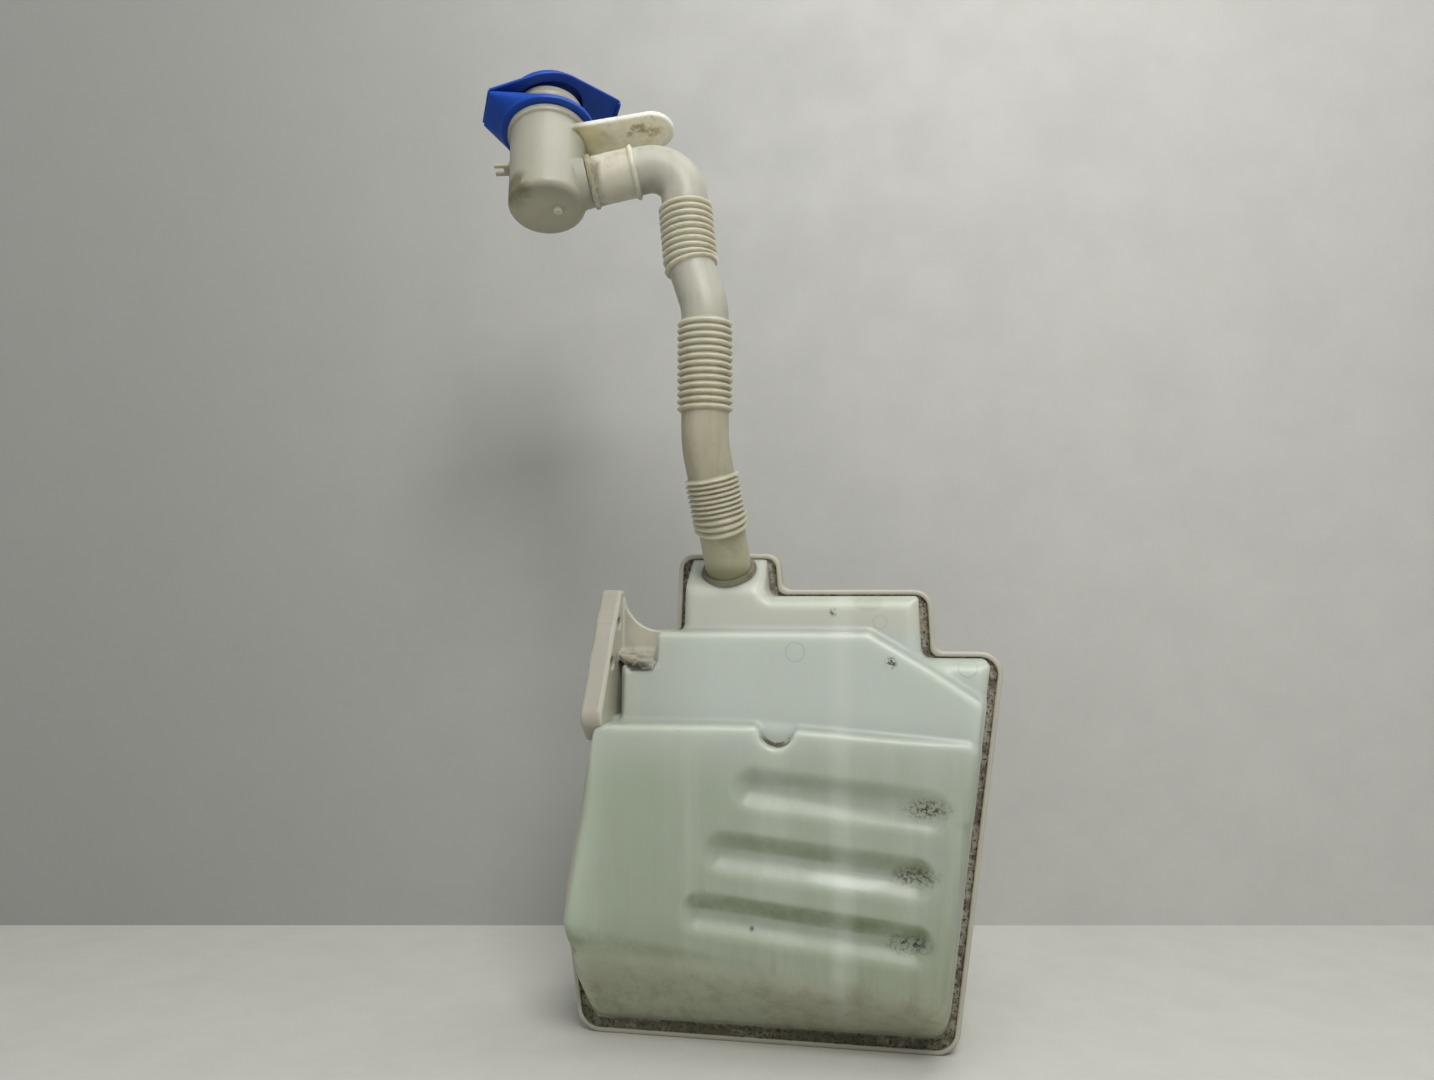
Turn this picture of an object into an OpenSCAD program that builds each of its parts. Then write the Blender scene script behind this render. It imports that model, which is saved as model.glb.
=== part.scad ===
// Washer fluid reservoir: two moulded tank halves welded along a flange, a corrugated filler pipe,
// and a filler head with a flip cap. The front is -Y, up is +Z, and the weld plane is y = 0.
// The origin is on the floor, under the flange.

/* [Tank outline] */
// Height of the weld flange over the neck
tank_h = 319; // [312:1:330]
// Width of the tank, from the waist to the right shoulder
tank_w = 292; // [284:1:300]
// Drop of the flange from the neck to the upper panel
upper_drop = 24; // [18:1:30]
// Drop of the flange from the neck to the right shoulder
shoulder_drop = 64; // [56:1:70]
// Drop of the flange from the neck to the left shoulder
left_drop = 51; // [46:1:56]
// Left edge of the neck
neck_left = -58; // [-64:1:-54]
// Right edge of the neck
neck_right = 10; // [6:1:16]
// Width of the right shoulder, beside the upper panel
shoulder_w = 46; // [40:1:54]
// Left edge of the left shoulder
shoulder_left = -106; // [-112:1:-100]
// Left edge at the waist
waist_left = -137; // [-145:1:-130]
// Height of the waist
waist_h = 88; // [75:1:100]
// Left edge at the foot
foot_left = -126; // [-130:1:-118]
// How far the right side leans out, from the foot to the shoulder
side_lean = 33; // [26:1:38]

/* [Tank walls] */
// Wall of the tank
wall_t = 2.5; // [2:0.1:3.5]
// Radius of the moulded outer edges
edge_r = 8; // [6:0.5:9]
// Width of the weld flange outside the wall
flange_w = 9; // [7:0.5:11]
// Thickness of each half of the flange
flange_t = 3.5; // [2.5:0.5:5]
// Width of the raised lip along the flange's edge
lip_w = 2.5; // [2:0.5:4]
// Height of that lip
lip_h = 1.5; // [1:0.5:2.5]

/* [Front half] */
// Depth of the upper panel
panel_d = 33; // [32:1:36]
// Depth of the middle bulge
mid_d = 42; // [38:1:43]
// Depth of the lower bulge at its left side
front_d = 61; // [60:1:66]
// Slope of the lower bulge's face, shallower to the right, in degrees
face_slope = 3.5; // [2:0.5:3.5]
// Left edge of the middle bulge
mid_left = -84; // [-88:1:-78]
// Where the middle bulge's top edge starts to fall
mid_break = 70; // [60:1:80]
// Height where the falling edge meets the right wall
mid_fall_h = 226; // [220:1:234]
// Height of the lower bulge's shelf
shelf_h = 211; // [206:1:216]
// Fall of the shelf towards the right
shelf_fall = 11; // [6:1:14]
// Draft of the bulges, per side
draft = 6; // [3:1:8]
// Height of the chamfer under the front, at the middle
chamfer_h = 65; // [58:1:68]
// Roll of that chamfer, larger at the left, in degrees
chamfer_roll = 5.5; // [4:0.5:8]
// Lean of that chamfer back under the front, in degrees
chamfer_lean = 43; // [38:1:48]
// Depth of the rim that the chamfer leaves along the weld
chamfer_rim = 6; // [5:0.5:9]
// Radius of the half-round notch in the shelf
notch_r = 10.5; // [8:0.5:13]
// Where the notch sits
notch_x = 13; // [5:1:20]

/* [Stiffening grooves] */
// Height of the top groove, at its middle
groove_h = 166; // [160:1:172]
// Distance between grooves
groove_pitch = 41; // [38:0.5:44]
// Number of grooves
groove_n = 3; // [1:1:3]
// Width of a groove
groove_w = 28; // [22:1:32]
// Depth of a groove
groove_d = 8; // [5:0.5:9]
// Fall of the grooves towards the right, in degrees
groove_fall = 6; // [3:0.5:8]
// Distance of the grooves' right ends from the right edge
groove_margin = 28; // [26:1:36]
// Length of the top groove
groove_len = 107; // [95:1:120]
// How much longer each lower groove is
groove_step = 10; // [0:1:12]

/* [Rear half] */
// Depth of the rear half at the top
rear_upper_d = 46; // [40:1:52]
// Depth of the rear half at the bottom
rear_d = 84; // [78:1:90]
// Height of the deep part
rear_h = 205; // [190:1:215]
// Half length of the sump that the tank stands on
sump_half = 98; // [90:1:104]
// Where the sump starts behind the flange
sump_y = 14; // [10:1:18]
// Width of the pump recess
pump_w = 46; // [42:1:52]
// Depth of the pump recess
pump_d = 22; // [18:1:26]
// Height of the pump recess
pump_h = 110; // [100:1:125]
// Middle of the pump recess
pump_x = 52; // [44:1:58]
// Height of the pump port
port_h = 27; // [25:1:32]
// Diameter of the pump's spigot
port_bore = 13; // [11:0.5:15]

/* [Bracket] */
// Left face of the bracket
bracket_left = -110; // [-114:1:-108]
// Width of the bracket
bracket_w = 15; // [12:1:18]
// Drop of the bracket's top from the neck's flange
bracket_drop = 22; // [16:1:28]
// Height of the bracket's tip
bracket_foot = 198; // [192:1:204]
// Wall of the bracket
bracket_t = 3.5; // [3:0.5:5]
// Diameter of the bolt holes
bolt_d = 8; // [6:0.5:9]
// Distance between the bolt holes
bolt_pitch = 30.5; // [26:0.5:33]

/* [Filler pipe] */
// Outside diameter of the pipe
pipe_d = 30; // [28:0.5:32]
// Wall of the pipe
pipe_t = 1.8; // [1.5:0.1:2.5]
// How far the bellows' crests stand out
ridge_h = 3; // [2:0.25:4]
// Distance between crests
ridge_pitch = 4.4; // [4:0.1:5]
// Where the lower bellows starts along the pipe, from the tank's roof
lower_start = 19; // [16:1:22]
// Where the middle bellows starts
mid_start = 108; // [104:1:112]
// Where the upper bellows starts
upper_start = 205; // [201:1:209]
// Lean of the pipe's foot towards the front, in degrees
foot_lean = 36; // [32:1:40]
// Depth of the pipe's foot inside the tank
foot_in = 5; // [4:0.5:6]
// Radius of the elbow
elbow_r = 22; // [20:1:26]
// Length of the cuff on the head's spigot
cuff_len = 31; // [28:1:34]

/* [Filler head] */
// Outside diameter of the cup
cup_d = 50; // [48:0.5:54]
// Height of the cup
cup_h = 64; // [60:1:70]
// Wall of the cup
cup_t = 2.2; // [1.8:0.1:3]
// Outside diameter of the neck above the cup
mouth_d = 46; // [44:0.5:46.5]
// Height of that neck
mouth_h = 20.5; // [18:0.5:21]
// Outside diameter of the side spigot
spigot_d = 25; // [23:0.5:26]
// Reach of the fixing tongue from the cup's axis
tongue_reach = 85.5; // [76:0.5:92]
// Width of the fixing tongue
tongue_w = 30; // [27:0.5:34]
// Height of the fixing tongue on the cup
tongue_h = 50.8; // [49:0.2:53]
// Thickness of the fixing tongue
tongue_t = 2.5; // [2:0.5:4]

/* [Flip cap] */
// Outside diameter of the collar and of the lid
cap_d = 63; // [60:0.5:66]
// Thickness of the collar and of the lid
cap_t = 2; // [1.6:0.1:2.6]
// Distance of the film hinge from the cup's axis
fold_reach = 42; // [40:0.5:46]
// Height of the film hinge above the collar
fold_rise = 14; // [13:0.5:15]
// Half length of the film hinge
fold_half = 14; // [11:0.5:15]
// Reach of the grip tab from the cup's axis
tab_reach = 52.5; // [46:0.5:56]
// Half width of the grip tab
tab_half = 11; // [9:0.5:13]
// Height of the crown that goes over the neck
crown_h = 9; // [8.5:0.5:12]
// How far the lid stands open, in degrees
lid_open = 12.5; // [8:0.5:20]

/* [Fits] */
// Clearance of pieces that fit in each other
fit_gap = 0.3; // [0.2:0.05:0.5]
// Clearance between the lid and what it goes over
lid_gap = 0.8; // [0.5:0.1:1.2]

/* [Hidden] */
$fn = 48;
milky = [0.80, 0.84, 0.76];
cream = [0.86, 0.84, 0.72];
blue = [0.10, 0.25, 0.72];
rubber = [0.16, 0.17, 0.15];
// Larger than the tank, for cutting planes
big = 600;

// Vector helpers
function unit(v) = v / norm(v);
function flat(p) = [p[0], p[1]];

// An arc of radius r that rounds the corner q between p and s
function corner(p, q, s, r, n) =
    let (u = unit(p - q), v = unit(s - q), half = acos(u * v) / 2,
         c = q + unit(u + v) * r / sin(half),
         a = q + u * r / tan(half) - c,
         b = q + v * r / tan(half) - c,
         a0 = atan2(a[1], a[0]),
         sweep = (atan2(b[1], b[0]) - a0 + 540) % 360 - 180)
    [for (i = [0 : n]) c + r * [cos(a0 + sweep * i / n), sin(a0 + sweep * i / n)]];

// A polygon whose points are [x, z, corner radius]
function rounded(pts, n = 5) =
    let (m = len(pts))
    [for (i = [0 : m - 1])
        each corner(flat(pts[(i + m - 1) % m]), flat(pts[i]), flat(pts[(i + 1) % m]), pts[i][2], n)];

// The same polygon, clockwise, drawn in by d: outer corners get sharper, inner ones keep their radius
function drawn_in(pts, d) =
    let (m = len(pts))
    [for (i = [0 : m - 1])
        let (q = flat(pts[i]),
             u = unit(flat(pts[(i + m - 1) % m]) - q),
             v = unit(flat(pts[(i + 1) % m]) - q),
             side = u[0] * v[1] - u[1] * v[0] > 0 ? 1 : -1,
             c = q + side * unit(u + v) * d / sin(acos(u * v) / 2))
        [c[0], c[1], side > 0 ? max(pts[i][2] - d, 1) : pts[i][2]]];

// Heights and edges of the outline's steps, and the radii of its corners
upper_h = tank_h - upper_drop;
shoulder_h = tank_h - shoulder_drop;
left_h = tank_h - left_drop;
mid_h = left_h;
bracket_top = tank_h - bracket_drop;
shoulder_right = waist_left + tank_w;
upper_right = shoulder_right - shoulder_w;
foot_right = shoulder_right - side_lean;
neck_r = 10;
step_r = 6;
panel_r = 12;
shoulder_r = 14;
foot_r = 16;
waist_r = 30;
// How far the steps' sides lean
step_lean = 2;
// Points inside the blocks, from which their ends are closed
panel_core = [(neck_left + neck_right) / 2, shelf_h];
mid_core = [0, shelf_h];
lower_core = [0, shelf_h / 2];

// The tank's outline, seen from the front, with its upper edges raised by some height
function tank_points(neck_rise, rise) = [
    [neck_left, tank_h + neck_rise, neck_r], [neck_right, tank_h + neck_rise, neck_r],
    [neck_right + step_lean, upper_h + rise, step_r], [upper_right, upper_h + rise, panel_r],
    [upper_right + step_lean, shoulder_h + rise, step_r], [shoulder_right, shoulder_h + rise, shoulder_r],
    [foot_right, 0, foot_r], [foot_left, 0, foot_r],
    [waist_left, waist_h, waist_r], [shoulder_left, left_h, step_r], [neck_left - step_lean, left_h, step_r]];
outline = rounded(tank_points(0, 0));
// The wall stays a flange's width inside that, but comes closer to the upper edges
upper_rise = 5;
wall_points = drawn_in(tank_points(flange_w - lip_w, upper_rise), flange_w);
// The right and left walls at a height
function right_wall(z) = foot_right + (shoulder_right - foot_right) * z / shoulder_h - flange_w;
function left_wall(z) =
    waist_left + (shoulder_left - waist_left) * (z - waist_h) / (left_h - waist_h) + flange_w;

// The neck's sloped roof, square to the pipe's foot
roof_y = -18;
roof_z = tank_h - 11.5;
foot_at = [(neck_left + neck_right) / 2 + 2, roof_y, roof_z];
foot_dir = unit([-0.05, -sin(foot_lean), cos(foot_lean)]);

// Rows of a moulded block, as [distance from the weld plane, how far its outline is drawn in].
// grow is 0 outside the wall, and the wall's thickness inside it
function block_rows(depth, lean, grow) =
    let (r = edge_r - grow, d = depth - grow)
    concat([[grow > 0 ? -1 : 0, grow]],
           [for (a = [0 : 30 : 90]) [d - r + r * sin(a), grow + lean + r * (1 - cos(a))]]);

// A solid through rings of equally many points, each end closed by a fan from its middle
module loft(rings, middles) {
    m = len(rings);
    n = len(rings[0]);
    polyhedron(
        points = concat([for (r = rings) each r], middles),
        faces = concat(
            [for (i = [0 : m - 2], k = [0 : n - 1])
                let (a = i * n + k, b = i * n + (k + 1) % n)
                each [[a, b, b + n], [a, b + n, a + n]]],
            [for (k = [0 : n - 1]) [m * n, (k + 1) % n, k]],
            [for (k = [0 : n - 1]) [m * n + 1, (m - 1) * n + k, (m - 1) * n + (k + 1) % n]]));
}

// A moulded block from the weld plane to its face, which falls back by the given slope to the right
module block(pts, depth, lean, grow, middle, slope = 0) {
    rows = block_rows(depth, lean, grow);
    full = depth - grow;
    m = len(rows);
    back = function (x, d) d <= 0 ? -d : (x - waist_left) * tan(slope) * d / full - d;
    rings = [for (row = rows) [for (p = rounded(drawn_in(pts, row[1]))) [p[0], back(p[0], row[0]), p[1]]]];
    loft(rings, [for (i = [0, m - 1]) [middle[0], back(middle[0], rows[i][0]), middle[1]]]);
}

// A round-ended slot's outline, clockwise, as [x, z]
function slot_outline(length, w) =
    let (k = 6)
    concat([for (i = [0 : k]) [-w * sin(180 * i / k), -w * cos(180 * i / k)]],
           [for (i = [0 : k]) [length + w * sin(180 * i / k), w * cos(180 * i / k)]]);

// Cuts a round-ended groove with soft shoulders; grow gives the same groove on the wall's other side
module groove_cut(length, grow) {
    w = groove_w / 2 + grow;
    d = groove_d + grow;
    proud = 0.6;
    steps = 6;
    rows = concat([for (i = [steps - 1 : -1 : 0]) let (t = 180 * i / steps)
                      [w * (1 - i / steps), (d + proud) * (1 - cos(t)) / 2 - proud]],
                  [[w, -proud - edge_r]]);
    loft([for (row = rows) [for (p = slot_outline(length, row[0])) [p[0], row[1], p[1]]]],
         [for (i = [0, steps]) [length / 2, rows[i][1], 0]]);
}

// Clear of the wall beside it, so that two blocks share no face
step_in = 0.4;

// The lower bulge, with its sloped face and notch
module lower_bulge(grow) {
    falls_to = shelf_h - shelf_fall;
    pts = [[left_wall(shelf_h) + step_in, shelf_h, 10], [0, shelf_h, 40],
           [right_wall(falls_to) - step_in, falls_to, 8],
           [right_wall(flange_w) - step_in, flange_w + step_in, 9],
           [foot_left + flange_w + step_in, flange_w + step_in, 9],
           [waist_left + flange_w + step_in, waist_h, 26]];
    difference() {
        block(pts, front_d, draft, grow, lower_core, face_slope);
        translate([notch_x, -mid_d + grow, shelf_h])
            rotate([90, 0, 0])
                cylinder(r = notch_r + grow, h = big);
    }
}

// The middle bulge, with its falling edge at the right; it ends inside the lower one
module middle_bulge(grow) {
    inside_h = 150;
    pts = [[mid_left, mid_h, 8], [mid_break, mid_h, 12],
           [right_wall(mid_fall_h) - 2 * step_in, mid_fall_h, 6],
           [right_wall(inside_h) - 2 * step_in, inside_h, 6], [mid_left - 8, inside_h, 6]];
    block(pts, mid_d, draft / 2, grow, mid_core);
}

// Everything under the front's chamfer, up to the rim along the weld
module under_chamfer(grow) {
    intersection() {
        translate([0, -front_d, chamfer_h])
            rotate([0, chamfer_roll, 0])
                rotate([-chamfer_lean, 0, 0])
                    translate([-big / 2, -big / 2, grow - big])
                        cube(big);
        translate([-big / 2, grow - chamfer_rim - big, -big / 2])
            cube(big);
    }
}

// Everything above the sloped roof of the neck
module above_roof(grow) {
    translate(foot_at)
        rotate([foot_lean, 0, 0])
            translate([-big / 2, -big / 2, -grow])
                cube(big);
}

// The front half as one solid: outside the wall, or inside it
module front_form(grow) {
    difference() {
        union() {
            block(wall_points, panel_d, 1, grow, panel_core);
            middle_bulge(grow);
            lower_bulge(grow);
        }
        under_chamfer(grow);
        above_roof(grow);
    }
}

// The rear half, drawn towards the front and mirrored when it is used
module rear_form(grow) {
    deep = [[left_wall(rear_h) + step_in, rear_h, 12], [right_wall(rear_h) - step_in, rear_h, 12],
            [right_wall(flange_w) - step_in, flange_w + step_in, 9],
            [foot_left + flange_w + step_in, flange_w + step_in, 9],
            [waist_left + flange_w + step_in, waist_h, 26]];
    difference() {
        union() {
            block(wall_points, rear_upper_d, 1, grow, panel_core);
            block(deep, rear_d, draft, grow, lower_core);
            sump(grow);
        }
        translate([pump_x - pump_w / 2 - grow, -big - rear_d + pump_d + grow, -big])
            cube([pump_w + 2 * grow, big, big + pump_h + grow]);
        above_roof(grow);
    }
}

// The sump that the tank stands on, a block turned to face down
module sump(grow) {
    // It starts inside the deep part
    sump_top = waist_h - 20;
    y0 = sump_y;
    y1 = rear_d - draft - step_in;
    pts = [[-sump_half, y1, 10], [sump_half, y1, 10], [sump_half, y0, 10], [-sump_half, y0, 10]];
    translate([0, 0, sump_top])
        rotate([90, 0, 0])
            block(pts, sump_top, draft / 2, grow, [0, (y0 + y1) / 2]);
}

// The grooves, laid on the sloped face
module grooves(grow) {
    for (i = [0 : groove_n - 1]) {
        length = groove_len + i * groove_step;
        right = foot_right - groove_margin + (groove_n - 1 - i) * groove_step / 2;
        translate([waist_left, -front_d, groove_h - i * groove_pitch])
            rotate([0, 0, face_slope])
                translate([right - waist_left - length, 0, length / 2 * sin(groove_fall)])
                    rotate([0, groove_fall, 0])
                        groove_cut(length, grow);
    }
}

// One half of the weld flange, with its lip
module flange_half() {
    rotate([90, 0, 0]) {
        linear_extrude(flange_t)
            polygon(outline);
        linear_extrude(flange_t + lip_h)
            difference() {
                polygon(outline);
                offset(delta = -lip_w)
                    polygon(outline);
            }
    }
}

// Brings z to the pipe's foot axis, from the point where it meets the roof
module at_foot() {
    translate(foot_at)
        rotate([0, -atan2(-foot_dir[0], foot_dir[2]), 0])
            rotate([foot_lean, 0, 0])
                children();
}

// The bracket's side outline, as distance in front of the weld plane and height
bracket_back = 1;
bracket_ridge = 12;
bolt_mid = [26, bracket_top - 37];
bolt_lean = [sin(33), -cos(33)];
bracket_outline = rounded([
    [bracket_back, bracket_foot + 6, 4], [bracket_back, bracket_top, 4], [bracket_ridge, bracket_top, 5],
    [front_d + 2, bracket_foot + 15, 8], [front_d - 15, bracket_foot, 4]], 4);

module bracket_solid(grow, from, to) {
    translate([from, 0, 0])
        rotate([90, 0, 90])
            linear_extrude(to - from)
                mirror([1, 0])
                    offset(delta = grow)
                        polygon(bracket_outline);
}

// Places its children at both bolt holes, with z along +X from the bracket's left face
module at_bolts() {
    for (side = [-0.5, 0.5]) {
        p = bolt_mid + bolt_lean * bolt_pitch * side;
        translate([bracket_left, -p[0], p[1]])
            rotate([0, 90, 0])
                children();
    }
}

module bracket() {
    plate_x = bracket_left + bracket_w - bracket_t;
    rib_h = mid_h - 13;
    gusset = 22;
    difference() {
        bracket_solid(0, bracket_left, bracket_left + bracket_w);
        bracket_solid(-bracket_t, bracket_left - 1, plate_x);
    }
    at_bolts()
        cylinder(d = bolt_d + 2 * bracket_t, h = bracket_w - bracket_t / 2);
    // The rib and the gusset that tie the bracket's plate to the middle bulge
    translate([plate_x + 1, -mid_d + edge_r, rib_h])
        cube([mid_left + edge_r - plate_x, mid_d - 2 * edge_r, bracket_t]);
    translate([plate_x + 1, -mid_d / 2, mid_h - edge_r])
        rotate([90, 0, 0])
            linear_extrude(bracket_t)
                difference() {
                    square([gusset + edge_r, gusset]);
                    translate([gusset + edge_r + 1, gusset + edge_r / 2])
                        circle(r = gusset);
                }
}

module front_shell() {
    color(milky)
        difference() {
            union() {
                difference() {
                    union() {
                        front_form(0);
                        bracket();
                    }
                    grooves(0);
                    difference() {
                        front_form(wall_t);
                        grooves(wall_t);
                    }
                }
                flange_ring();
            }
            // The pipe's hole in the roof, and the seat for the seal's lip
            at_foot() {
                translate([0, 0, -foot_in])
                    cylinder(d = neck_bore, h = 2 * foot_in);
                cylinder(r = neck_bore / 2 + seal_lip + fit_gap, h = 4 * foot_in);
            }
            at_bolts()
                translate([0, 0, -1])
                    cylinder(d = bolt_d, h = bracket_w + 2);
        }
}

seal_t = 1.2;
seal_lip = 2;
neck_bore = pipe_d + 2 * (seal_t + fit_gap);

// The flange without the space that the tank's wall encloses
module flange_ring() {
    difference() {
        flange_half();
        rotate([90, 0, 0])
            translate([0, 0, -1])
                linear_extrude(flange_t + lip_h + 2)
                    offset(delta = -flange_w - wall_t / 2)
                        polygon(outline);
    }
}

module rear_shell() {
    color(milky)
        mirror([0, 1, 0])
            difference() {
                union() {
                    difference() {
                        rear_form(0);
                        rear_form(wall_t);
                    }
                    flange_ring();
                }
                translate([pump_x, -rear_d, port_h])
                    rotate([-90, 0, 0])
                        cylinder(d = port_seat, h = pump_d + 10);
            }
}

// The pump's grommet: a groove that grips the wall, and a bore for the spigot
grommet_t = 4;
port_seat = port_bore + 2 * grommet_t;

module pump_grommet() {
    lip = 3;
    r = port_bore / 2;
    seat = port_seat / 2 - fit_gap / 2;
    color(rubber)
        translate([pump_x, rear_d - pump_d, port_h])
            rotate([90, 0, 0])
                rotate_extrude()
                    polygon([[r, -lip], [seat + lip, -lip], [seat + lip, -fit_gap], [seat, -fit_gap],
                             [seat, wall_t + fit_gap], [seat + lip, wall_t + fit_gap],
                             [seat + lip - 1, wall_t + lip], [r, wall_t + lip]]);
}

// The rubber ring between the pipe's foot and the tank's neck
module neck_seal() {
    inside = pipe_d / 2 + fit_gap / 2;
    outside = neck_bore / 2 - fit_gap / 2;
    color(rubber)
        at_foot()
            rotate_extrude()
                polygon([[inside, -foot_in + 1], [outside, -foot_in + 1], [outside, fit_gap],
                         [outside + seal_lip, fit_gap], [outside + seal_lip / 2, foot_in / 2],
                         [inside, foot_in / 2]]);
}

// The filler head's frame: z up the cup's axis from the middle of its bottom, x to the right
head_at = [-134.6, -60, 543];
head_yaw = 10;
head_tilt = 22.6;
head_roll = 3.2;
stub_h = 11;
stub_turn = 7;
stub_rise = 10;
elbow_reach = 87;

module at_head() {
    translate(head_at)
        rotate([0, 0, head_yaw])
            rotate([-head_tilt, 0, 0])
                rotate([0, -head_roll, 0])
                    children();
}

// Brings x to the side spigot's axis
module at_stub() {
    translate([0, 0, stub_h])
        rotate([0, 0, -stub_turn])
            rotate([0, -stub_rise, 0])
                children();
}

// The same frames for points
function turn_z(a, p) = [p[0] * cos(a) - p[1] * sin(a), p[0] * sin(a) + p[1] * cos(a), p[2]];
function turn_x(a, p) = [p[0], p[1] * cos(a) - p[2] * sin(a), p[1] * sin(a) + p[2] * cos(a)];
function turn_y(a, p) = [p[0] * cos(a) + p[2] * sin(a), p[1], -p[0] * sin(a) + p[2] * cos(a)];
function head_point(p) =
    head_at + turn_z(head_yaw, turn_x(-head_tilt, turn_y(-head_roll, p)));
function stub_point(x) =
    head_point([0, 0, stub_h] + turn_z(-stub_turn, turn_y(-stub_rise, [x, 0, 0])));

// The pipe's run: corners from the foot to the cuff, and the bend radius at each
stub_len = 4;
cuff_end = cup_d / 2 + stub_len + fit_gap;
run = [foot_at - foot_dir * foot_in, foot_at + foot_dir * 37, [-31.4, -54, 386], [-31.4, -54, 474],
       [-43, -50, 505], stub_point(elbow_reach), stub_point(cuff_end)];
bends = [0, 34, 60, 40, 40, elbow_r, 0];

function turn_at(i) = acos(unit(run[i] - run[i - 1]) * unit(run[i + 1] - run[i]));
function trim(i) = i == 0 || i == len(run) - 1 ? 0 : bends[i] * tan(turn_at(i) / 2);

// The run as straights and arcs: [length, start, direction, direction of the bend, radius]
function straight(i) =
    let (d = unit(run[i + 1] - run[i]))
    [norm(run[i + 1] - run[i]) - trim(i) - trim(i + 1), run[i] + d * trim(i), d, d, 0];
function bend(i) =
    let (d = unit(run[i] - run[i - 1]), e = unit(run[i + 1] - run[i]))
    [bends[i] * turn_at(i) * PI / 180, run[i] - d * trim(i), d, unit(e - d * (d * e)), bends[i]];
legs = [for (i = [0 : len(run) - 2]) each i == 0 ? [straight(0)] : [bend(i), straight(i)]];
function total(i = 0) = i == len(legs) ? 0 : legs[i][0] + total(i + 1);
run_len = total();

// Place and direction at the distance s along the run
function on_leg(leg, s) =
    leg[4] == 0 ? [leg[1] + leg[2] * s, leg[2]]
    : let (a = s / leg[4] * 180 / PI)
      [leg[1] + leg[4] * (leg[2] * sin(a) + leg[3] * (1 - cos(a))), leg[2] * cos(a) + leg[3] * sin(a)];
function along(s, i = 0) =
    s <= legs[i][0] || i == len(legs) - 1 ? on_leg(legs[i], s) : along(s - legs[i][0], i + 1);

// The pipe's outside, as [distance along the run, radius]
pipe_r = pipe_d / 2;
sides = 18;
seal_gap = 0.8;
cuff_r = spigot_d / 2 + seal_gap + fit_gap + pipe_t + 0.6;

function bellows(from, count) =
    [for (i = [0 : count - 1])
        each [[from + i * ridge_pitch, pipe_r], [from + (i + 0.35) * ridge_pitch, pipe_r + ridge_h],
              [from + (i + 0.65) * ridge_pitch, pipe_r + ridge_h]]];
function plain(from, to, r, step = 9) =
    let (n = max(1, ceil((to - from) / step)))
    [for (i = [0 : n]) [from + (to - from) * i / n, r]];

lower_from = foot_in + lower_start;
lower_n = 11;
mid_from = foot_in + mid_start;
mid_n = 14;
upper_from = foot_in + upper_start;
upper_n = 10;
cuff_from = run_len - cuff_len;
ring_w = 3;
ring_h = 1.6;
outside = concat(
    plain(0, lower_from - 1, pipe_r, 16),
    bellows(lower_from, lower_n),
    plain(lower_from + lower_n * ridge_pitch, mid_from - 1, pipe_r),
    bellows(mid_from, mid_n),
    plain(mid_from + mid_n * ridge_pitch, upper_from - 1, pipe_r),
    bellows(upper_from, upper_n),
    plain(upper_from + upper_n * ridge_pitch, cuff_from - 1, pipe_r, 6),
    [[cuff_from, cuff_r + ring_h], [cuff_from + ring_w, cuff_r + ring_h], [cuff_from + ring_w + 1, cuff_r],
     [run_len - ring_w - 1, cuff_r], [run_len - ring_w, cuff_r + ring_h], [run_len, cuff_r + ring_h]]);
socket_r = (spigot_d / 2 + seal_gap + fit_gap) / cos(180 / sides);
inside = concat(
    plain(0, cuff_from - 1, pipe_r - pipe_t, 9),
    [[cuff_from + ring_w, socket_r], [run_len, socket_r]]);

function ring(st) =
    let (a = along(st[0]), u = unit(cross(a[1], [0, 1, 0])), v = cross(a[1], u))
    [for (k = [0 : sides - 1])
        a[0] + st[1] * (u * cos(360 * k / sides) + v * sin(360 * k / sides))];

// Triangles between two rings that start at the points a and b
function skin(a, b) =
    [for (k = [0 : sides - 1])
        let (n = (k + 1) % sides)
        each [[a + k, b + n, a + n], [a + k, b + k, b + n]]];

module filler_pipe() {
    loop = concat(outside, [for (i = [len(inside) - 1 : -1 : 0]) inside[i]]);
    m = len(loop);
    color(cream)
        polyhedron(
            points = [for (st = loop) each ring(st)],
            faces = [for (i = [0 : m - 1]) each skin(i * sides, ((i + 1) % m) * sides)]);
}

// The ring that seals the head's spigot in the cuff
seal_r = 1.1;
seal_at = cuff_end + 14;
groove_floor = spigot_d / 2 + seal_gap - 2 * seal_r;

module head_seal() {
    color(rubber)
        at_head()
            at_stub()
                translate([seal_at, 0, 0])
                    rotate([0, 90, 0])
                        rotate_extrude()
                            translate([groove_floor + seal_r + fit_gap / 2, 0])
                                circle(r = seal_r, $fn = 24);
}

// The cup, its neck and their rims, as one turned profile
rim_r = cup_d / 2 + 2;
rim_h = 5;
mouth_r = mouth_d / 2;
thread_h = 0.6;
bottom_r = 4.5;

module cup_outside() {
    r = cup_d / 2;
    rotate_extrude()
        polygon(concat(
            [[0, 0]],
            [for (a = [-90 : 15 : 0]) [r - bottom_r + bottom_r * cos(a), bottom_r + bottom_r * sin(a)]],
            [[r, cup_h - rim_h - 2], [rim_r, cup_h - rim_h], [rim_r, cup_h], [mouth_r, cup_h]],
            [for (i = [0 : 2]) each let (z = cup_h + 6 + 4 * i)
                [[mouth_r, z], [mouth_r + thread_h, z + 0.7], [mouth_r + thread_h, z + 1.5], [mouth_r, z + 2.2]]],
            [[mouth_r, cup_h + mouth_h], [0, cup_h + mouth_h]]));
}

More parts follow.
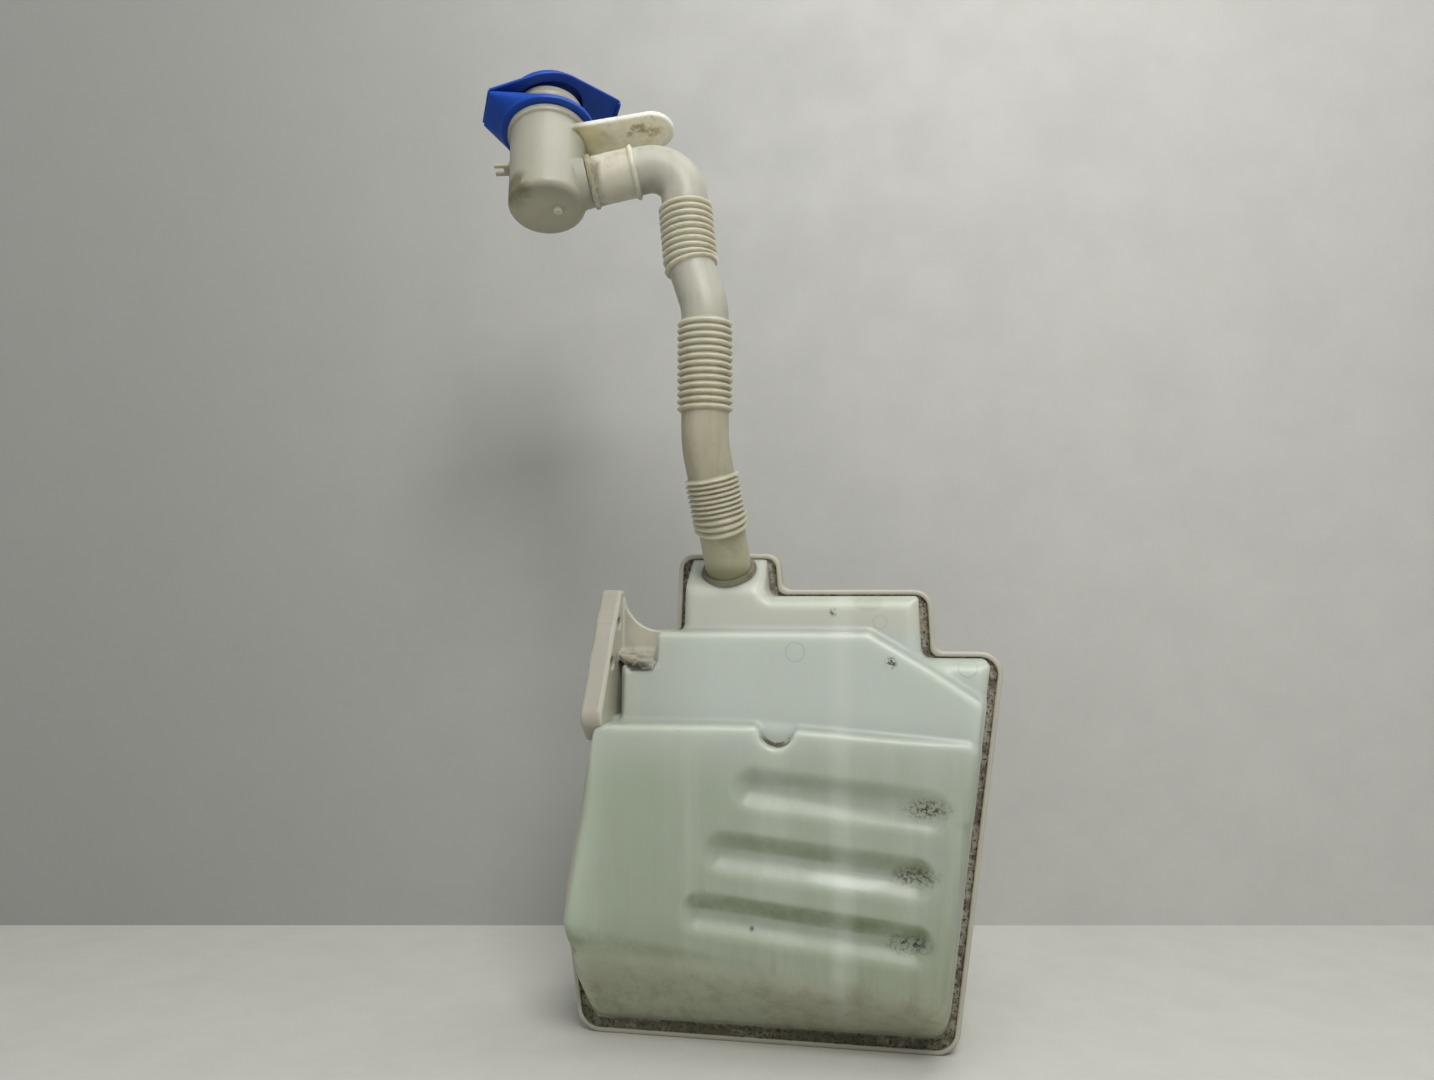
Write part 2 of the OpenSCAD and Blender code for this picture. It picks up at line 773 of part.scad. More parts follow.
module cup_inside() {
    r = cup_d / 2 - cup_t;
    b = bottom_r - cup_t;
    rotate_extrude()
        polygon(concat(
            [[0, cup_t]],
            [for (a = [-90 : 15 : 0]) [r - b + b * cos(a), bottom_r + b * sin(a)]],
            [[r, cup_h - 4], [mouth_r - cup_t, cup_h], [mouth_r - cup_t, cup_h + mouth_h + 1],
             [0, cup_h + mouth_h + 1]]));
}

// The tongue that holds the head, a rounded plate turned with the spigot
module tongue() {
    w = tongue_w / 2;
    translate([0, 0, tongue_h])
        rotate([0, 0, -stub_turn - 2])
            linear_extrude(tongue_t) {
                translate([0, -w])
                    square([tongue_reach - w, tongue_w]);
                translate([tongue_reach - w, 0])
                    circle(r = w);
            }
}

// The two-pronged clip at the cup's left
module fork() {
    prong_w = 3;
    fork_w = 10;
    fork_len = 12;
    translate([-cup_d / 2 - fork_len + 2, 0, cup_h / 2 - 6])
        linear_extrude(tongue_t)
            difference() {
                translate([0, -fork_w / 2])
                    square([fork_len, fork_w]);
                translate([-1, -fork_w / 2 + prong_w])
                    square([fork_len / 2 + 1, fork_w - 2 * prong_w]);
            }
}

module filler_head() {
    spigot_len = cuff_end + cuff_len - ring_w - 1;
    stub_from = cup_d / 2 - 3 * stub_len;
    gate_x = 7;
    gate_r = 3;
    color(cream)
        at_head()
            difference() {
                union() {
                    cup_outside();
                    tongue();
                    fork();
                    // The mark of the moulding gate
                    translate([gate_x, 0, -gate_r / 2])
                        cylinder(r = gate_r, h = gate_r);
                    at_stub()
                        rotate([0, 90, 0]) {
                            translate([0, 0, stub_from])
                                cylinder(d = spigot_d, h = spigot_len - stub_from);
                            translate([0, 0, cup_d / 2 - stub_len])
                                cylinder(r = cuff_r, h = 2 * stub_len);
                        }
                }
                cup_inside();
                at_stub()
                    rotate([0, 90, 0]) {
                        translate([0, 0, stub_from])
                            cylinder(r = spigot_d / 2 - cup_t, h = spigot_len);
                        translate([0, 0, seal_at - seal_r - fit_gap / 2])
                            difference() {
                                cylinder(d = spigot_d + 1, h = 2 * seal_r + fit_gap);
                                cylinder(r = groove_floor, h = 2 * seal_r + fit_gap);
                            }
                    }
            }
}

// The cap's frame: x from the film hinge to the grip tab, z from the collar's underside
cap_turn = 18;

module at_cap() {
    at_head()
        translate([0, 0, cup_h])
            rotate([0, 0, cap_turn])
                children();
}

module at_fold() {
    at_cap()
        translate([-fold_reach, 0, fold_rise])
            rotate([0, -lid_open, 0])
                children();
}

// The collar: a ring under the neck's thread and a flap that climbs to the film hinge
film_gap = 0.8;

module cap_collar() {
    r = cap_d / 2;
    wall = cap_t + 1.5;
    color(blue)
        at_cap()
            difference() {
                union() {
                    cylinder(r = r, h = wall);
                    hull() {
                        translate([-fold_reach + film_gap / 2, -fold_half, fold_rise - film_gap - cap_t])
                            cube([film_gap, 2 * fold_half, cap_t]);
                        // The flap's sides run out along the ring
                        translate([0, 0, step_in])
                            cylinder(r = r - step_in, h = wall - 2 * step_in);
                    }
                }
                translate([0, 0, -1])
                    cylinder(d = mouth_d + 2 * fit_gap, h = fold_rise + 2);
                translate([0, 0, cap_t])
                    cylinder(r = r - cap_t, h = fold_rise);
            }
}

// The lid: a plate with a grip tab, and a crown that goes over the neck
module cap_lid() {
    r = cap_d / 2 - fit_gap;
    crown_r = mouth_r + thread_h + lid_gap;
    tab_x = fold_reach + tab_reach;
    color(blue)
        at_fold()
            difference() {
                union() {
                    linear_extrude(cap_t)
                        hull() {
                            translate([fold_reach, 0])
                                circle(r = r);
                            translate([film_gap / 2, -fold_half])
                                square([1, 2 * fold_half]);
                            translate([tab_x - 4, -tab_half + 2])
                                circle(r = 2);
                            translate([tab_x - 4, tab_half - 2])
                                circle(r = 2);
                        }
                    translate([fold_reach, 0, 0])
                        cylinder(r = crown_r + cap_t, h = crown_h + cap_t);
                    translate([tab_x - 3, -tab_half, -2])
                        cube([2, 2 * tab_half, 2 + cap_t]);
                }
                translate([fold_reach, 0, -1])
                    cylinder(r = crown_r, h = crown_h + 1);
            }
}

front_shell();
rear_shell();
neck_seal();
filler_pipe();
head_seal();
filler_head();
cap_collar();
cap_lid();
pump_grommet();
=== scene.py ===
import math

import bpy
import numpy as np
from mathutils import Matrix, Vector


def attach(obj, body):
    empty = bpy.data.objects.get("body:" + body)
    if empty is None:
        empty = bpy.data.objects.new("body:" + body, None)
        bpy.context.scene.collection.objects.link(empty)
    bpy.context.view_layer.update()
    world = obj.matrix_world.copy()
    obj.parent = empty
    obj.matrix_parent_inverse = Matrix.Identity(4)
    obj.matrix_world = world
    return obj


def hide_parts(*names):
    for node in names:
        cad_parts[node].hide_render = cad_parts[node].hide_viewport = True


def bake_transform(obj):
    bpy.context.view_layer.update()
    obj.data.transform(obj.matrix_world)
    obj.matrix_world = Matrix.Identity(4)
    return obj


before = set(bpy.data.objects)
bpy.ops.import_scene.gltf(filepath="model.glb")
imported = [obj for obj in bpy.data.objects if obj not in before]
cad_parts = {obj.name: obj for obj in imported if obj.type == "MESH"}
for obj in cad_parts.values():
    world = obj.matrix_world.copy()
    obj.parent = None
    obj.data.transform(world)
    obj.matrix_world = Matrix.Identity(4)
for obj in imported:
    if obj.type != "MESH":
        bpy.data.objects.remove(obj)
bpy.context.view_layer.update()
MM = 0.001

# Sizes in millimetres. The front is -Y, up is +Z, and the weld plane is y = 0.
TANK_H, UPPER_H, SHOULDER_H, LEFT_H = 319.0, 295.0, 255.0, 268.0
BASE_LEFT, BASE_RIGHT, SHOULDER_RIGHT, LEFT_END = -126.0, 122.0, 155.0, -106.0
WAIST_LEFT, WAIST_H = -137.0, 88.0
FLANGE_W = 9.0
PANEL_D, MID_D, FRONT_D = 33.0, 42.0, 61.0
REAR_UPPER_D, REAR_D = 46.0, 84.0
SLOPE = math.tan(math.radians(3.5))
FOOT_LEAN = 36.0

# How a skin is pulled onto its field: rounds, the probe's reach and the least slope squared.
PULLS, PROBE, LEAST_SLOPE = 4, 0.15, 0.2


# ---- fields: negative inside a solid, in millimetres -------------------------------------------

def trimmed(a, b, r):
    """What both solids share, with an edge of radius r where they meet."""
    return np.minimum(np.maximum(a, b), -r) + np.hypot(np.maximum(a + r, 0), np.maximum(b + r, 0))


def joined(a, b, r):
    """Both solids, with a fillet of radius r where they meet."""
    return np.maximum(np.minimum(a, b), r) - np.hypot(np.maximum(r - a, 0), np.maximum(r - b, 0))


def span(v, low, high):
    """A slab between two values."""
    return np.maximum(v - high, low - v)


def rounded(points, n=7):
    """An outline of [x, z, corner radius] as a closed run of points."""
    run = []
    m = len(points)
    for i in range(m):
        p, q, s = (np.array(points[(i + k) % m][:2], float) for k in (-1, 0, 1))
        r = points[i][2]
        u = (p - q) / np.linalg.norm(p - q)
        v = (s - q) / np.linalg.norm(s - q)
        half = math.acos(float(np.clip(u @ v, -1, 1))) / 2
        c = q + (u + v) / np.linalg.norm(u + v) * r / math.sin(half)
        a = q + u * r / math.tan(half) - c
        b = q + v * r / math.tan(half) - c
        start = math.atan2(a[1], a[0])
        swing = (math.atan2(b[1], b[0]) - start + 3 * math.pi) % (2 * math.pi) - math.pi
        angles = [start + swing * k / n for k in range(n + 1)]
        run += [c + r * np.array([math.cos(t), math.sin(t)]) for t in angles]
    return np.array(run)


def drawn_in(points, d):
    """The same clockwise outline, moved inwards by d."""
    out = []
    m = len(points)
    for i in range(m):
        p, q, s = (np.array(points[(i + k) % m][:2], float) for k in (-1, 0, 1))
        u = (p - q) / np.linalg.norm(p - q)
        v = (s - q) / np.linalg.norm(s - q)
        side = 1 if u[0] * v[1] - u[1] * v[0] > 0 else -1
        half = math.acos(float(np.clip(u @ v, -1, 1))) / 2
        c = q + side * (u + v) / np.linalg.norm(u + v) * d / math.sin(half)
        out.append([c[0], c[1], max(points[i][2] - d, 1.0) if side > 0 else points[i][2]])
    return out


def within(run, x, z):
    """Distance to an outline, negative inside it."""
    best, odd = 1e12, False
    for i in range(len(run)):
        (px, pz), (qx, qz) = run[i - 1], run[i]
        ex, ez, wx, wz = qx - px, qz - pz, x - px, z - pz
        length = ex * ex + ez * ez
        if length < 1e-12:
            continue
        t = np.clip((wx * ex + wz * ez) / length, 0, 1)
        best = np.minimum(best, (wx - ex * t) ** 2 + (wz - ez * t) ** 2)
        above, below, left = z >= pz, z < qz, ex * wz > ez * wx
        odd = odd ^ ((above & below & left) | (~above & ~below & ~left))
    return np.where(odd, -1.0, 1.0) * np.sqrt(best)


def skin(field, low, high, step):
    """The surface of a field as points and quads: one point in each cell it crosses, pulled onto it."""
    axes = [np.arange(a, b + step, step) for a, b in zip(low, high)]
    x, y, z = np.meshgrid(*axes, indexing="ij", sparse=True)
    value = np.broadcast_to(field(x, y, z), [len(a) for a in axes]).astype(np.float64)
    inside = value < 0
    corners = [(i, j, k) for i in (0, 1) for j in (0, 1) for k in (0, 1)]
    n = np.array(value.shape) - 1

    def at(grid, c):
        return grid[c[0]:c[0] + n[0], c[1]:c[1] + n[1], c[2]:c[2] + n[2]]

    count = sum(at(inside, c).astype(np.int8) for c in corners)
    cells = np.argwhere((count > 0) & (count < len(corners)))
    number = np.full(n, -1, np.int64)
    number[tuple(cells.T)] = np.arange(len(cells))
    total, hits = np.zeros((len(cells), 3)), np.zeros((len(cells), 1))
    for a in corners:
        for axis in range(3):
            if a[axis]:
                continue
            b = np.array(a)
            b[axis] = 1
            va, vb = value[tuple((cells + a).T)], value[tuple((cells + b).T)]
            cross = (va < 0) != (vb < 0)
            t = np.where(cross, va / np.where(cross, va - vb, 1), 0)
            point = np.tile(np.array(a, float), (len(cells), 1))
            point[:, axis] = t
            total += np.where(cross[:, None], point, 0)
            hits += cross[:, None]
    points = np.array(low) + (cells + total / hits) * step
    probes = np.eye(3) * PROBE
    for _ in range(PULLS):
        off = field(*points.T)
        slope = np.stack([(field(*(points + d).T) - field(*(points - d).T)) / (2 * PROBE) for d in probes], 1)
        move = -off[:, None] * slope / np.maximum((slope ** 2).sum(1), LEAST_SLOPE)[:, None]
        points = points + np.clip(move, -0.5 * step, 0.5 * step)
    quads = []
    for axis in range(3):
        p, q = [(1, 2), (2, 0), (0, 1)][axis]
        first = np.take(inside, range(n[axis]), axis)
        second = np.take(inside, range(1, n[axis] + 1), axis)
        edges = np.argwhere(first != second)
        edges = edges[(edges[:, p] > 0) & (edges[:, q] > 0) & (edges[:, p] < n[p]) & (edges[:, q] < n[q])]
        dp, dq = np.eye(3, dtype=int)[p], np.eye(3, dtype=int)[q]
        ring = np.stack([number[tuple((edges - s).T)] for s in (dp + dq, dq, 0 * dp, dp)], 1)
        ring = ring[(ring >= 0).all(1)] if (ring < 0).any() else ring
        solid = first[tuple(edges.T)]
        quads.append(np.where(solid[:, None], ring, ring[:, ::-1]))
    return points, np.vstack(quads)


def piece(name, points, faces, material, body="reservoir", node=None, slot=None, place=None):
    """A mesh of the part, with its place in its points, riding on a body."""
    if place is not None:
        points = points @ place[0].T + place[1]
    mesh = bpy.data.meshes.new(name)
    mesh.from_pydata((np.asarray(points) * MM).tolist(), [], [list(map(int, f)) for f in faces])
    mesh.validate()
    mesh.polygons.foreach_set("use_smooth", [True] * len(mesh.polygons))
    mesh.materials.append(material)
    obj = bpy.data.objects.new(name, mesh)
    bpy.context.scene.collection.objects.link(obj)
    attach(obj, body)
    if node:
        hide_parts(node)
    return obj


def moulded(name, field, low, high, step, material, **how):
    """A piece that is the skin of a field, looked for in a box from low to high."""
    points, quads = skin(field, low, high, step)
    piece(name, points, quads, material, **how)


# ---- finishes ----------------------------------------------------------------------------------

FLOAT, VECTOR = "NodeSocketFloat", "NodeSocketVector"
COLOUR_A, COLOUR_B, COLOUR_OUT = 6, 7, 2
VALUE_A, VALUE_B, VALUE_OUT = 2, 3, 0
STREAK_STRETCH = (1.0, 1.0, 0.07)


def group(name, inputs, output, build):
    """A group of nodes with one output, which the finishes share."""
    tree = bpy.data.node_groups.new(name, "ShaderNodeTree")
    for label, kind, value in inputs:
        s = tree.interface.new_socket(label, in_out="INPUT", socket_type=kind)
        s.default_value = value
    tree.interface.new_socket(output, in_out="OUTPUT", socket_type=FLOAT)
    build(tree, tree.nodes.new("NodeGroupInput").outputs, tree.nodes.new("NodeGroupOutput").inputs)
    return tree


def add(tree, kind, links=(), **values):
    """A node with its named inputs set or linked."""
    node = tree.nodes.new(kind)
    for key, value in values.items():
        setattr(node, key, value)
    for socket, source in dict(links).items():
        target = node.inputs[socket]
        if isinstance(source, bpy.types.NodeSocket):
            tree.links.new(source, target)
        else:
            target.default_value = source
    return node


def grime_build(tree, given, out, stretch=(1.0, 1.0, 1.0)):
    """Ragged patches, which are drawn out along an axis whose stretch is small."""
    where = add(tree, "ShaderNodeTexCoord").outputs["Object"]
    where = add(tree, "ShaderNodeVectorMath", {0: where, 1: stretch}, operation="MULTIPLY").outputs[0]
    cloud = add(tree, "ShaderNodeTexNoise",
                {"Vector": where, "Scale": given["Scale"], "Detail": 6.0, "Roughness": 0.68}).outputs["Fac"]
    edge, top = [add(tree, "ShaderNodeMath", {0: given["Amount"], 1: given["Softness"]}, operation=kind).outputs[0]
                 for kind in ("SUBTRACT", "ADD")]
    mask = add(tree, "ShaderNodeMapRange", {"Value": cloud, "From Min": edge, "From Max": top},
               interpolation_type="SMOOTHSTEP")
    tree.links.new(mask.outputs["Result"], out["Mask"])


def streak_build(tree, given, out):
    """The same patches, drawn out into upright streaks."""
    grime_build(tree, given, out, STREAK_STRETCH)


def spot_build(tree, given, out):
    """A soft spot with its own size along each axis, whole within its core."""
    where = add(tree, "ShaderNodeTexCoord").outputs["Object"]
    away = add(tree, "ShaderNodeVectorMath", {0: where, 1: given["Centre"]}, operation="SUBTRACT")
    squeezed = add(tree, "ShaderNodeVectorMath", {0: away.outputs[0], 1: given["Size"]}, operation="DIVIDE")
    far = add(tree, "ShaderNodeVectorMath", {0: squeezed.outputs[0]}, operation="LENGTH")
    mask = add(tree, "ShaderNodeMapRange", {"Value": far.outputs["Value"], "From Min": 1.0, "From Max": given["Core"]},
               interpolation_type="SMOOTHSTEP")
    tree.links.new(mask.outputs["Result"], out["Mask"])


def grain_build(tree, given, out):
    """Fine grain over slow waves."""
    where = add(tree, "ShaderNodeTexCoord").outputs["Object"]
    fine = add(tree, "ShaderNodeTexNoise", {"Vector": where, "Scale": given["Scale"], "Detail": 3.0})
    slow = add(tree, "ShaderNodeTexNoise", {"Vector": where, "Scale": given["Waves"], "Detail": 1.0})
    mix = add(tree, "ShaderNodeMath", {0: slow.outputs["Fac"], 1: 6.0, 2: fine.outputs["Fac"]},
              operation="MULTIPLY_ADD")
    tree.links.new(mix.outputs[0], out["Height"])


PATCHES = [("Scale", FLOAT, 90.0), ("Amount", FLOAT, 0.55), ("Softness", FLOAT, 0.08)]
GRIME = group("grime", PATCHES, "Mask", grime_build)
SPOT = group("soft spot", [("Centre", VECTOR, (0, 0, 0)), ("Size", VECTOR, (0.01, 0.01, 0.01)), ("Core", FLOAT, 0.2)],
             "Mask", spot_build)
STREAK = group("streaks", PATCHES, "Mask", streak_build)
GRAIN = group("moulded grain", [("Scale", FLOAT, 900.0), ("Waves", FLOAT, 25.0)], "Height", grain_build)


class Finish:
    """A material: a base colour that layers are laid over, with grain in its relief and gloss. Places are in metres."""

    def __init__(self, name, base, rough, depth=0.0, radius=(0.008, 0.008, 0.006), grain=900.0, relief=0.0002):
        self.mat = bpy.data.materials.new(name)
        self.mat.use_nodes = True
        self.tree = self.mat.node_tree
        self.shader = self.tree.nodes["Principled BSDF"]
        self.shader.inputs["Subsurface Weight"].default_value = depth
        self.shader.inputs["Subsurface Radius"].default_value = radius
        self.shader.inputs["Subsurface Scale"].default_value = 1.0
        height = self.effect(GRAIN, Scale=grain)
        bump = add(self.tree, "ShaderNodeBump", {"Height": height, "Strength": 0.25, "Distance": relief})
        self.tree.links.new(bump.outputs[0], self.shader.inputs["Normal"])
        cloud = self.grime(14.0, 0.5, 0.2)
        self.colour = self.mixed(cloud, base, [c * 0.93 for c in base])
        self.gloss = add(self.tree, "ShaderNodeMapRange",
                         {"Value": cloud, "To Min": rough - 0.05, "To Max": rough + 0.06}).outputs["Result"]

    def effect(self, tree, **values):
        node = self.tree.nodes.new("ShaderNodeGroup")
        node.node_tree = tree
        for key, value in values.items():
            node.inputs[key].default_value = value
        return node.outputs[0]

    def grime(self, scale, amount, softness):
        return self.effect(GRIME, Scale=scale, Amount=amount, Softness=softness)

    def streaks(self, scale, amount, softness):
        return self.effect(STREAK, Scale=scale, Amount=amount, Softness=softness)

    def spot(self, centre, size, core):
        return self.effect(SPOT, Centre=centre, Size=size, Core=core)

    def mark(self, name):
        """What a mesh has stored at its points under a name."""
        return add(self.tree, "ShaderNodeAttribute", attribute_name=name).outputs["Fac"]

    def mixed(self, mask, a, b):
        node = self.tree.nodes.new("ShaderNodeMix")
        node.data_type = "RGBA"
        self.tree.links.new(mask, node.inputs["Factor"])
        for socket, value in ((node.inputs[COLOUR_A], a), (node.inputs[COLOUR_B], b)):
            if isinstance(value, bpy.types.NodeSocket):
                self.tree.links.new(value, socket)
            else:
                socket.default_value = (*value, 1.0)
        return node.outputs[COLOUR_OUT]

    def math(self, kind, a, b=0.0):
        return add(self.tree, "ShaderNodeMath", {0: a, 1: b}, operation=kind).outputs[0]

    def times(self, a, b):
        return self.math("MULTIPLY", a, b)

    def ramp(self, value, low, high, to=1.0):
        """0 at low, rising softly to its most at high."""
        return add(self.tree, "ShaderNodeMapRange", {"Value": value, "From Min": low, "From Max": high, "To Max": to},
                   interpolation_type="SMOOTHSTEP").outputs["Result"]

    def band(self, value, middle, half):
        """1 at the middle, falling softly to 0 at half a width to either side."""
        return self.ramp(self.math("ABSOLUTE", self.math("SUBTRACT", value, middle)), half, 0.0)

    def where(self):
        """The place along x, y and z."""
        place = add(self.tree, "ShaderNodeTexCoord").outputs["Object"]
        return add(self.tree, "ShaderNodeSeparateXYZ", {0: place}).outputs

    def facing(self):
        """How far the surface faces along x, y and z."""
        normal = add(self.tree, "ShaderNodeNewGeometry").outputs["Normal"]
        return add(self.tree, "ShaderNodeSeparateXYZ", {0: normal}).outputs

    def lay(self, mask, colour, rough=None):
        """Lays a colour, and a roughness with it, over what is there."""
        self.colour = self.mixed(mask, self.colour, colour)
        if rough is not None:
            node = self.tree.nodes.new("ShaderNodeMix")
            self.tree.links.new(mask, node.inputs["Factor"])
            self.tree.links.new(self.gloss, node.inputs[VALUE_A])
            node.inputs[VALUE_B].default_value = rough
            self.gloss = node.outputs[VALUE_OUT]

    def done(self):
        self.tree.links.new(self.colour, self.shader.inputs["Base Color"])
        self.tree.links.new(self.gloss, self.shader.inputs["Roughness"])
        return self.mat


# ---- the tank ----------------------------------------------------------------------------------

def tank_points(neck_rise, rise):
    """The outline from the front, with its upper edges raised by some height."""
    top, upper, shoulder = TANK_H + neck_rise, UPPER_H + rise, SHOULDER_H + rise
    return [[-58, top, 10], [10, top, 10], [12, upper, 6], [109, upper, 12], [111, shoulder, 6],
            [SHOULDER_RIGHT, shoulder, 14], [BASE_RIGHT, 0, 16], [BASE_LEFT, 0, 16], [WAIST_LEFT, WAIST_H, 30],
            [LEFT_END, LEFT_H, 6], [-60, LEFT_H, 6]]


def right_wall(z):
    return BASE_RIGHT + (SHOULDER_RIGHT - BASE_RIGHT) * z / SHOULDER_H - FLANGE_W


def left_wall(z):
    return WAIST_LEFT + (LEFT_END - WAIST_LEFT) * (z - WAIST_H) / (LEFT_H - WAIST_H) + FLANGE_W


EDGE = tank_points(0, 0)
WALL = rounded(drawn_in(tank_points(6.5, 5), FLANGE_W))
MIDDLE = rounded([[-68, 268, 7], [70, 268, 7], [right_wall(226) - 1, 226, 8], [right_wall(150) - 1, 150, 6],
                  [-94, 150, 6], [-89.5, 244.5, 3], [-68, 244.5, 4]])
RECESS = rounded([[-160, 300, 2], [-69, 300, 2], [-69, 246, 3], [-90, 246, 3], [-90, 212.5, 2], [-160, 212.5, 2]])
LOWER = rounded([[left_wall(211) + 0.4, 211, 12], [0, 211, 40], [right_wall(200) - 0.4, 200, 9],
                 [right_wall(9) - 0.4, 9.4, 10], [-116.6, 9.4, 12], [-127.6, WAIST_H, 26]])
DEEP = rounded([[left_wall(205) + 0.4, 205, 12], [right_wall(205) - 0.4, 205, 12],
                [right_wall(9) - 0.4, 9.4, 9], [-116.6, 9.4, 9], [-127.6, WAIST_H, 26]])
SUMP = rounded([[-98, 77.6, 10], [98, 77.6, 10], [98, 14, 10], [-98, 14, 10]])
FOOT_AT = np.array([-22.0, -18.0, TANK_H - 11.5])

# Drafts, and the bulges' upper edges: their rise at the front, the height it starts at and the height it takes.
MIDDLE_DRAFT, LOWER_DRAFT = 3.0, 6.0
MIDDLE_LIFT, LOWER_LIFT = (3.0, 215.0, 30.0), (5.0, 150.0, 45.0)
PANEL_ROUND, MIDDLE_ROUND, BULGE_FILLET, ROOF_ROUND = 8.0, 3.5, 5.0, 5.0
GROOVES = [((-2, 172.5), (105, 160.5)), ((-20, 133), (96, 119.5)), ((-34, 95.5), (95, 79.5))]
GROOVE_HALF, GROOVE_D = 15.5, 6.0
NOTCH_X, NOTCH_Z, NOTCH_R = 12.5, 208.5, 11.0
RECESS_D, RECESS_STEP, RECESS_BEND = 4.0, 8.0, 252.0
# The bottom chamfer: where it starts, and its height at the front, which falls to the right.
RIM_D, RIM_H, RIM_ROUND = 6.0, 12.5, 10.0
CHAMFER_H, CHAMFER_FALL, CHAMFER_SWING = 65.0, 0.096, 0.937
SUMP_H, PUMP_X, PUMP_Z, PUMP_R = 68.0, 52.0, 27.0, 10.5
PUMP_HALF, PUMP_TOP, PUMP_D = 23.0, 110.0, 22.0


def above_roof(y, z):
    lean = math.radians(FOOT_LEAN)
    return (z - FOOT_AT[2]) * math.cos(lean) - (y - FOOT_AT[1]) * math.sin(lean)


def groove_depth(x, z):
    depth = 0
    for (ax, az), (bx, bz) in GROOVES:
        ex, ez = bx - ax, bz - az
        t = np.clip(((x - ax) * ex + (z - az) * ez) / (ex * ex + ez * ez), 0, 1)
        far = np.hypot(x - ax - t * ex, z - az - t * ez) / GROOVE_HALF
        depth = depth + GROOVE_D / 2 * (1 + np.cos(math.pi * np.minimum(far, 1)))
    return depth


def lifted(z, u, depth, lift):
    """The height to look up in an outline whose upper edge climbs towards the front."""
    rise, start, over = lift
    return z - rise * np.clip(u / depth, 0, 1) * np.clip((z - start) / over, 0, 1)


def front_field(x, y, z):
    """A panel with a middle and a lower bulge, grooves, a notch, the bracket's recess and a bottom chamfer."""
    u = -y
    panel = trimmed(within(WALL, x, z) + u / PANEL_D, u - PANEL_D, PANEL_ROUND)
    middle = within(MIDDLE, x, lifted(z, u, MID_D, MIDDLE_LIFT)) + MIDDLE_DRAFT * u / MID_D
    middle = trimmed(middle, u - MID_D, MIDDLE_ROUND)
    flat = FRONT_D - (x - WAIST_LEFT) * SLOPE
    face = flat - groove_depth(x, z)
    crisp = 3 + 5 * np.clip((200 - z) / 40, 0, 1)
    lower = within(LOWER, x, lifted(z, u, FRONT_D, LOWER_LIFT)) + LOWER_DRAFT * u / FRONT_D
    lower = trimmed(lower, u - face, crisp)
    notch = np.maximum(np.hypot(x - NOTCH_X, z - NOTCH_Z) - NOTCH_R, MID_D + 0.5 - u)
    lower = trimmed(lower, -notch, 3.5)
    floor = RECESS_D + RECESS_STEP * np.clip((RECESS_BEND - z) / 8, 0, 1)
    panel = trimmed(panel, -np.maximum(within(RECESS, x, z), floor - u), 2)
    body = joined(joined(panel, middle, BULGE_FILLET), lower, BULGE_FILLET)
    climb = (CHAMFER_H - CHAMFER_FALL * x - CHAMFER_SWING * (FRONT_D - flat) - RIM_H) / (flat - RIM_D)
    under = np.maximum((z - RIM_H - climb * (u - RIM_D)) / np.hypot(1, climb), RIM_D - u)
    body = trimmed(body, -under, RIM_ROUND)
    return np.maximum(trimmed(body, above_roof(y, z), ROOF_ROUND), -u)


def rear_field(x, y, z):
    """A shallow upper half over a deep one, with a sump and a recess for the pump."""
    upper = trimmed(within(WALL, x, z) + y / REAR_UPPER_D, y - REAR_UPPER_D, 8)
    deep = trimmed(within(DEEP, x, z) + 6 * y / REAR_D, y - REAR_D, 9)
    sump = trimmed(within(SUMP, x, y) + 3 * (SUMP_H - z) / SUMP_H, -z, 8)
    body = joined(joined(upper, deep, 6), np.maximum(sump, z - SUMP_H), 4)
    recess = np.maximum(np.maximum(np.abs(x - PUMP_X) - PUMP_HALF, z - PUMP_TOP), (REAR_D - PUMP_D) - y)
    body = trimmed(body, -recess, 3)
    body = trimmed(body, PUMP_R - np.hypot(x - PUMP_X, z - PUMP_Z), 0.4)
    return np.maximum(trimmed(body, above_roof(y, z), ROOF_ROUND), -y)


PALE, CLOUDY, WHITE, OLIVE = (0.37, 0.405, 0.335), (0.50, 0.54, 0.50), (0.515, 0.525, 0.465), (0.20, 0.23, 0.14)
BROWN, NEAR_BLACK = (0.15, 0.125, 0.08), (0.03, 0.027, 0.02)


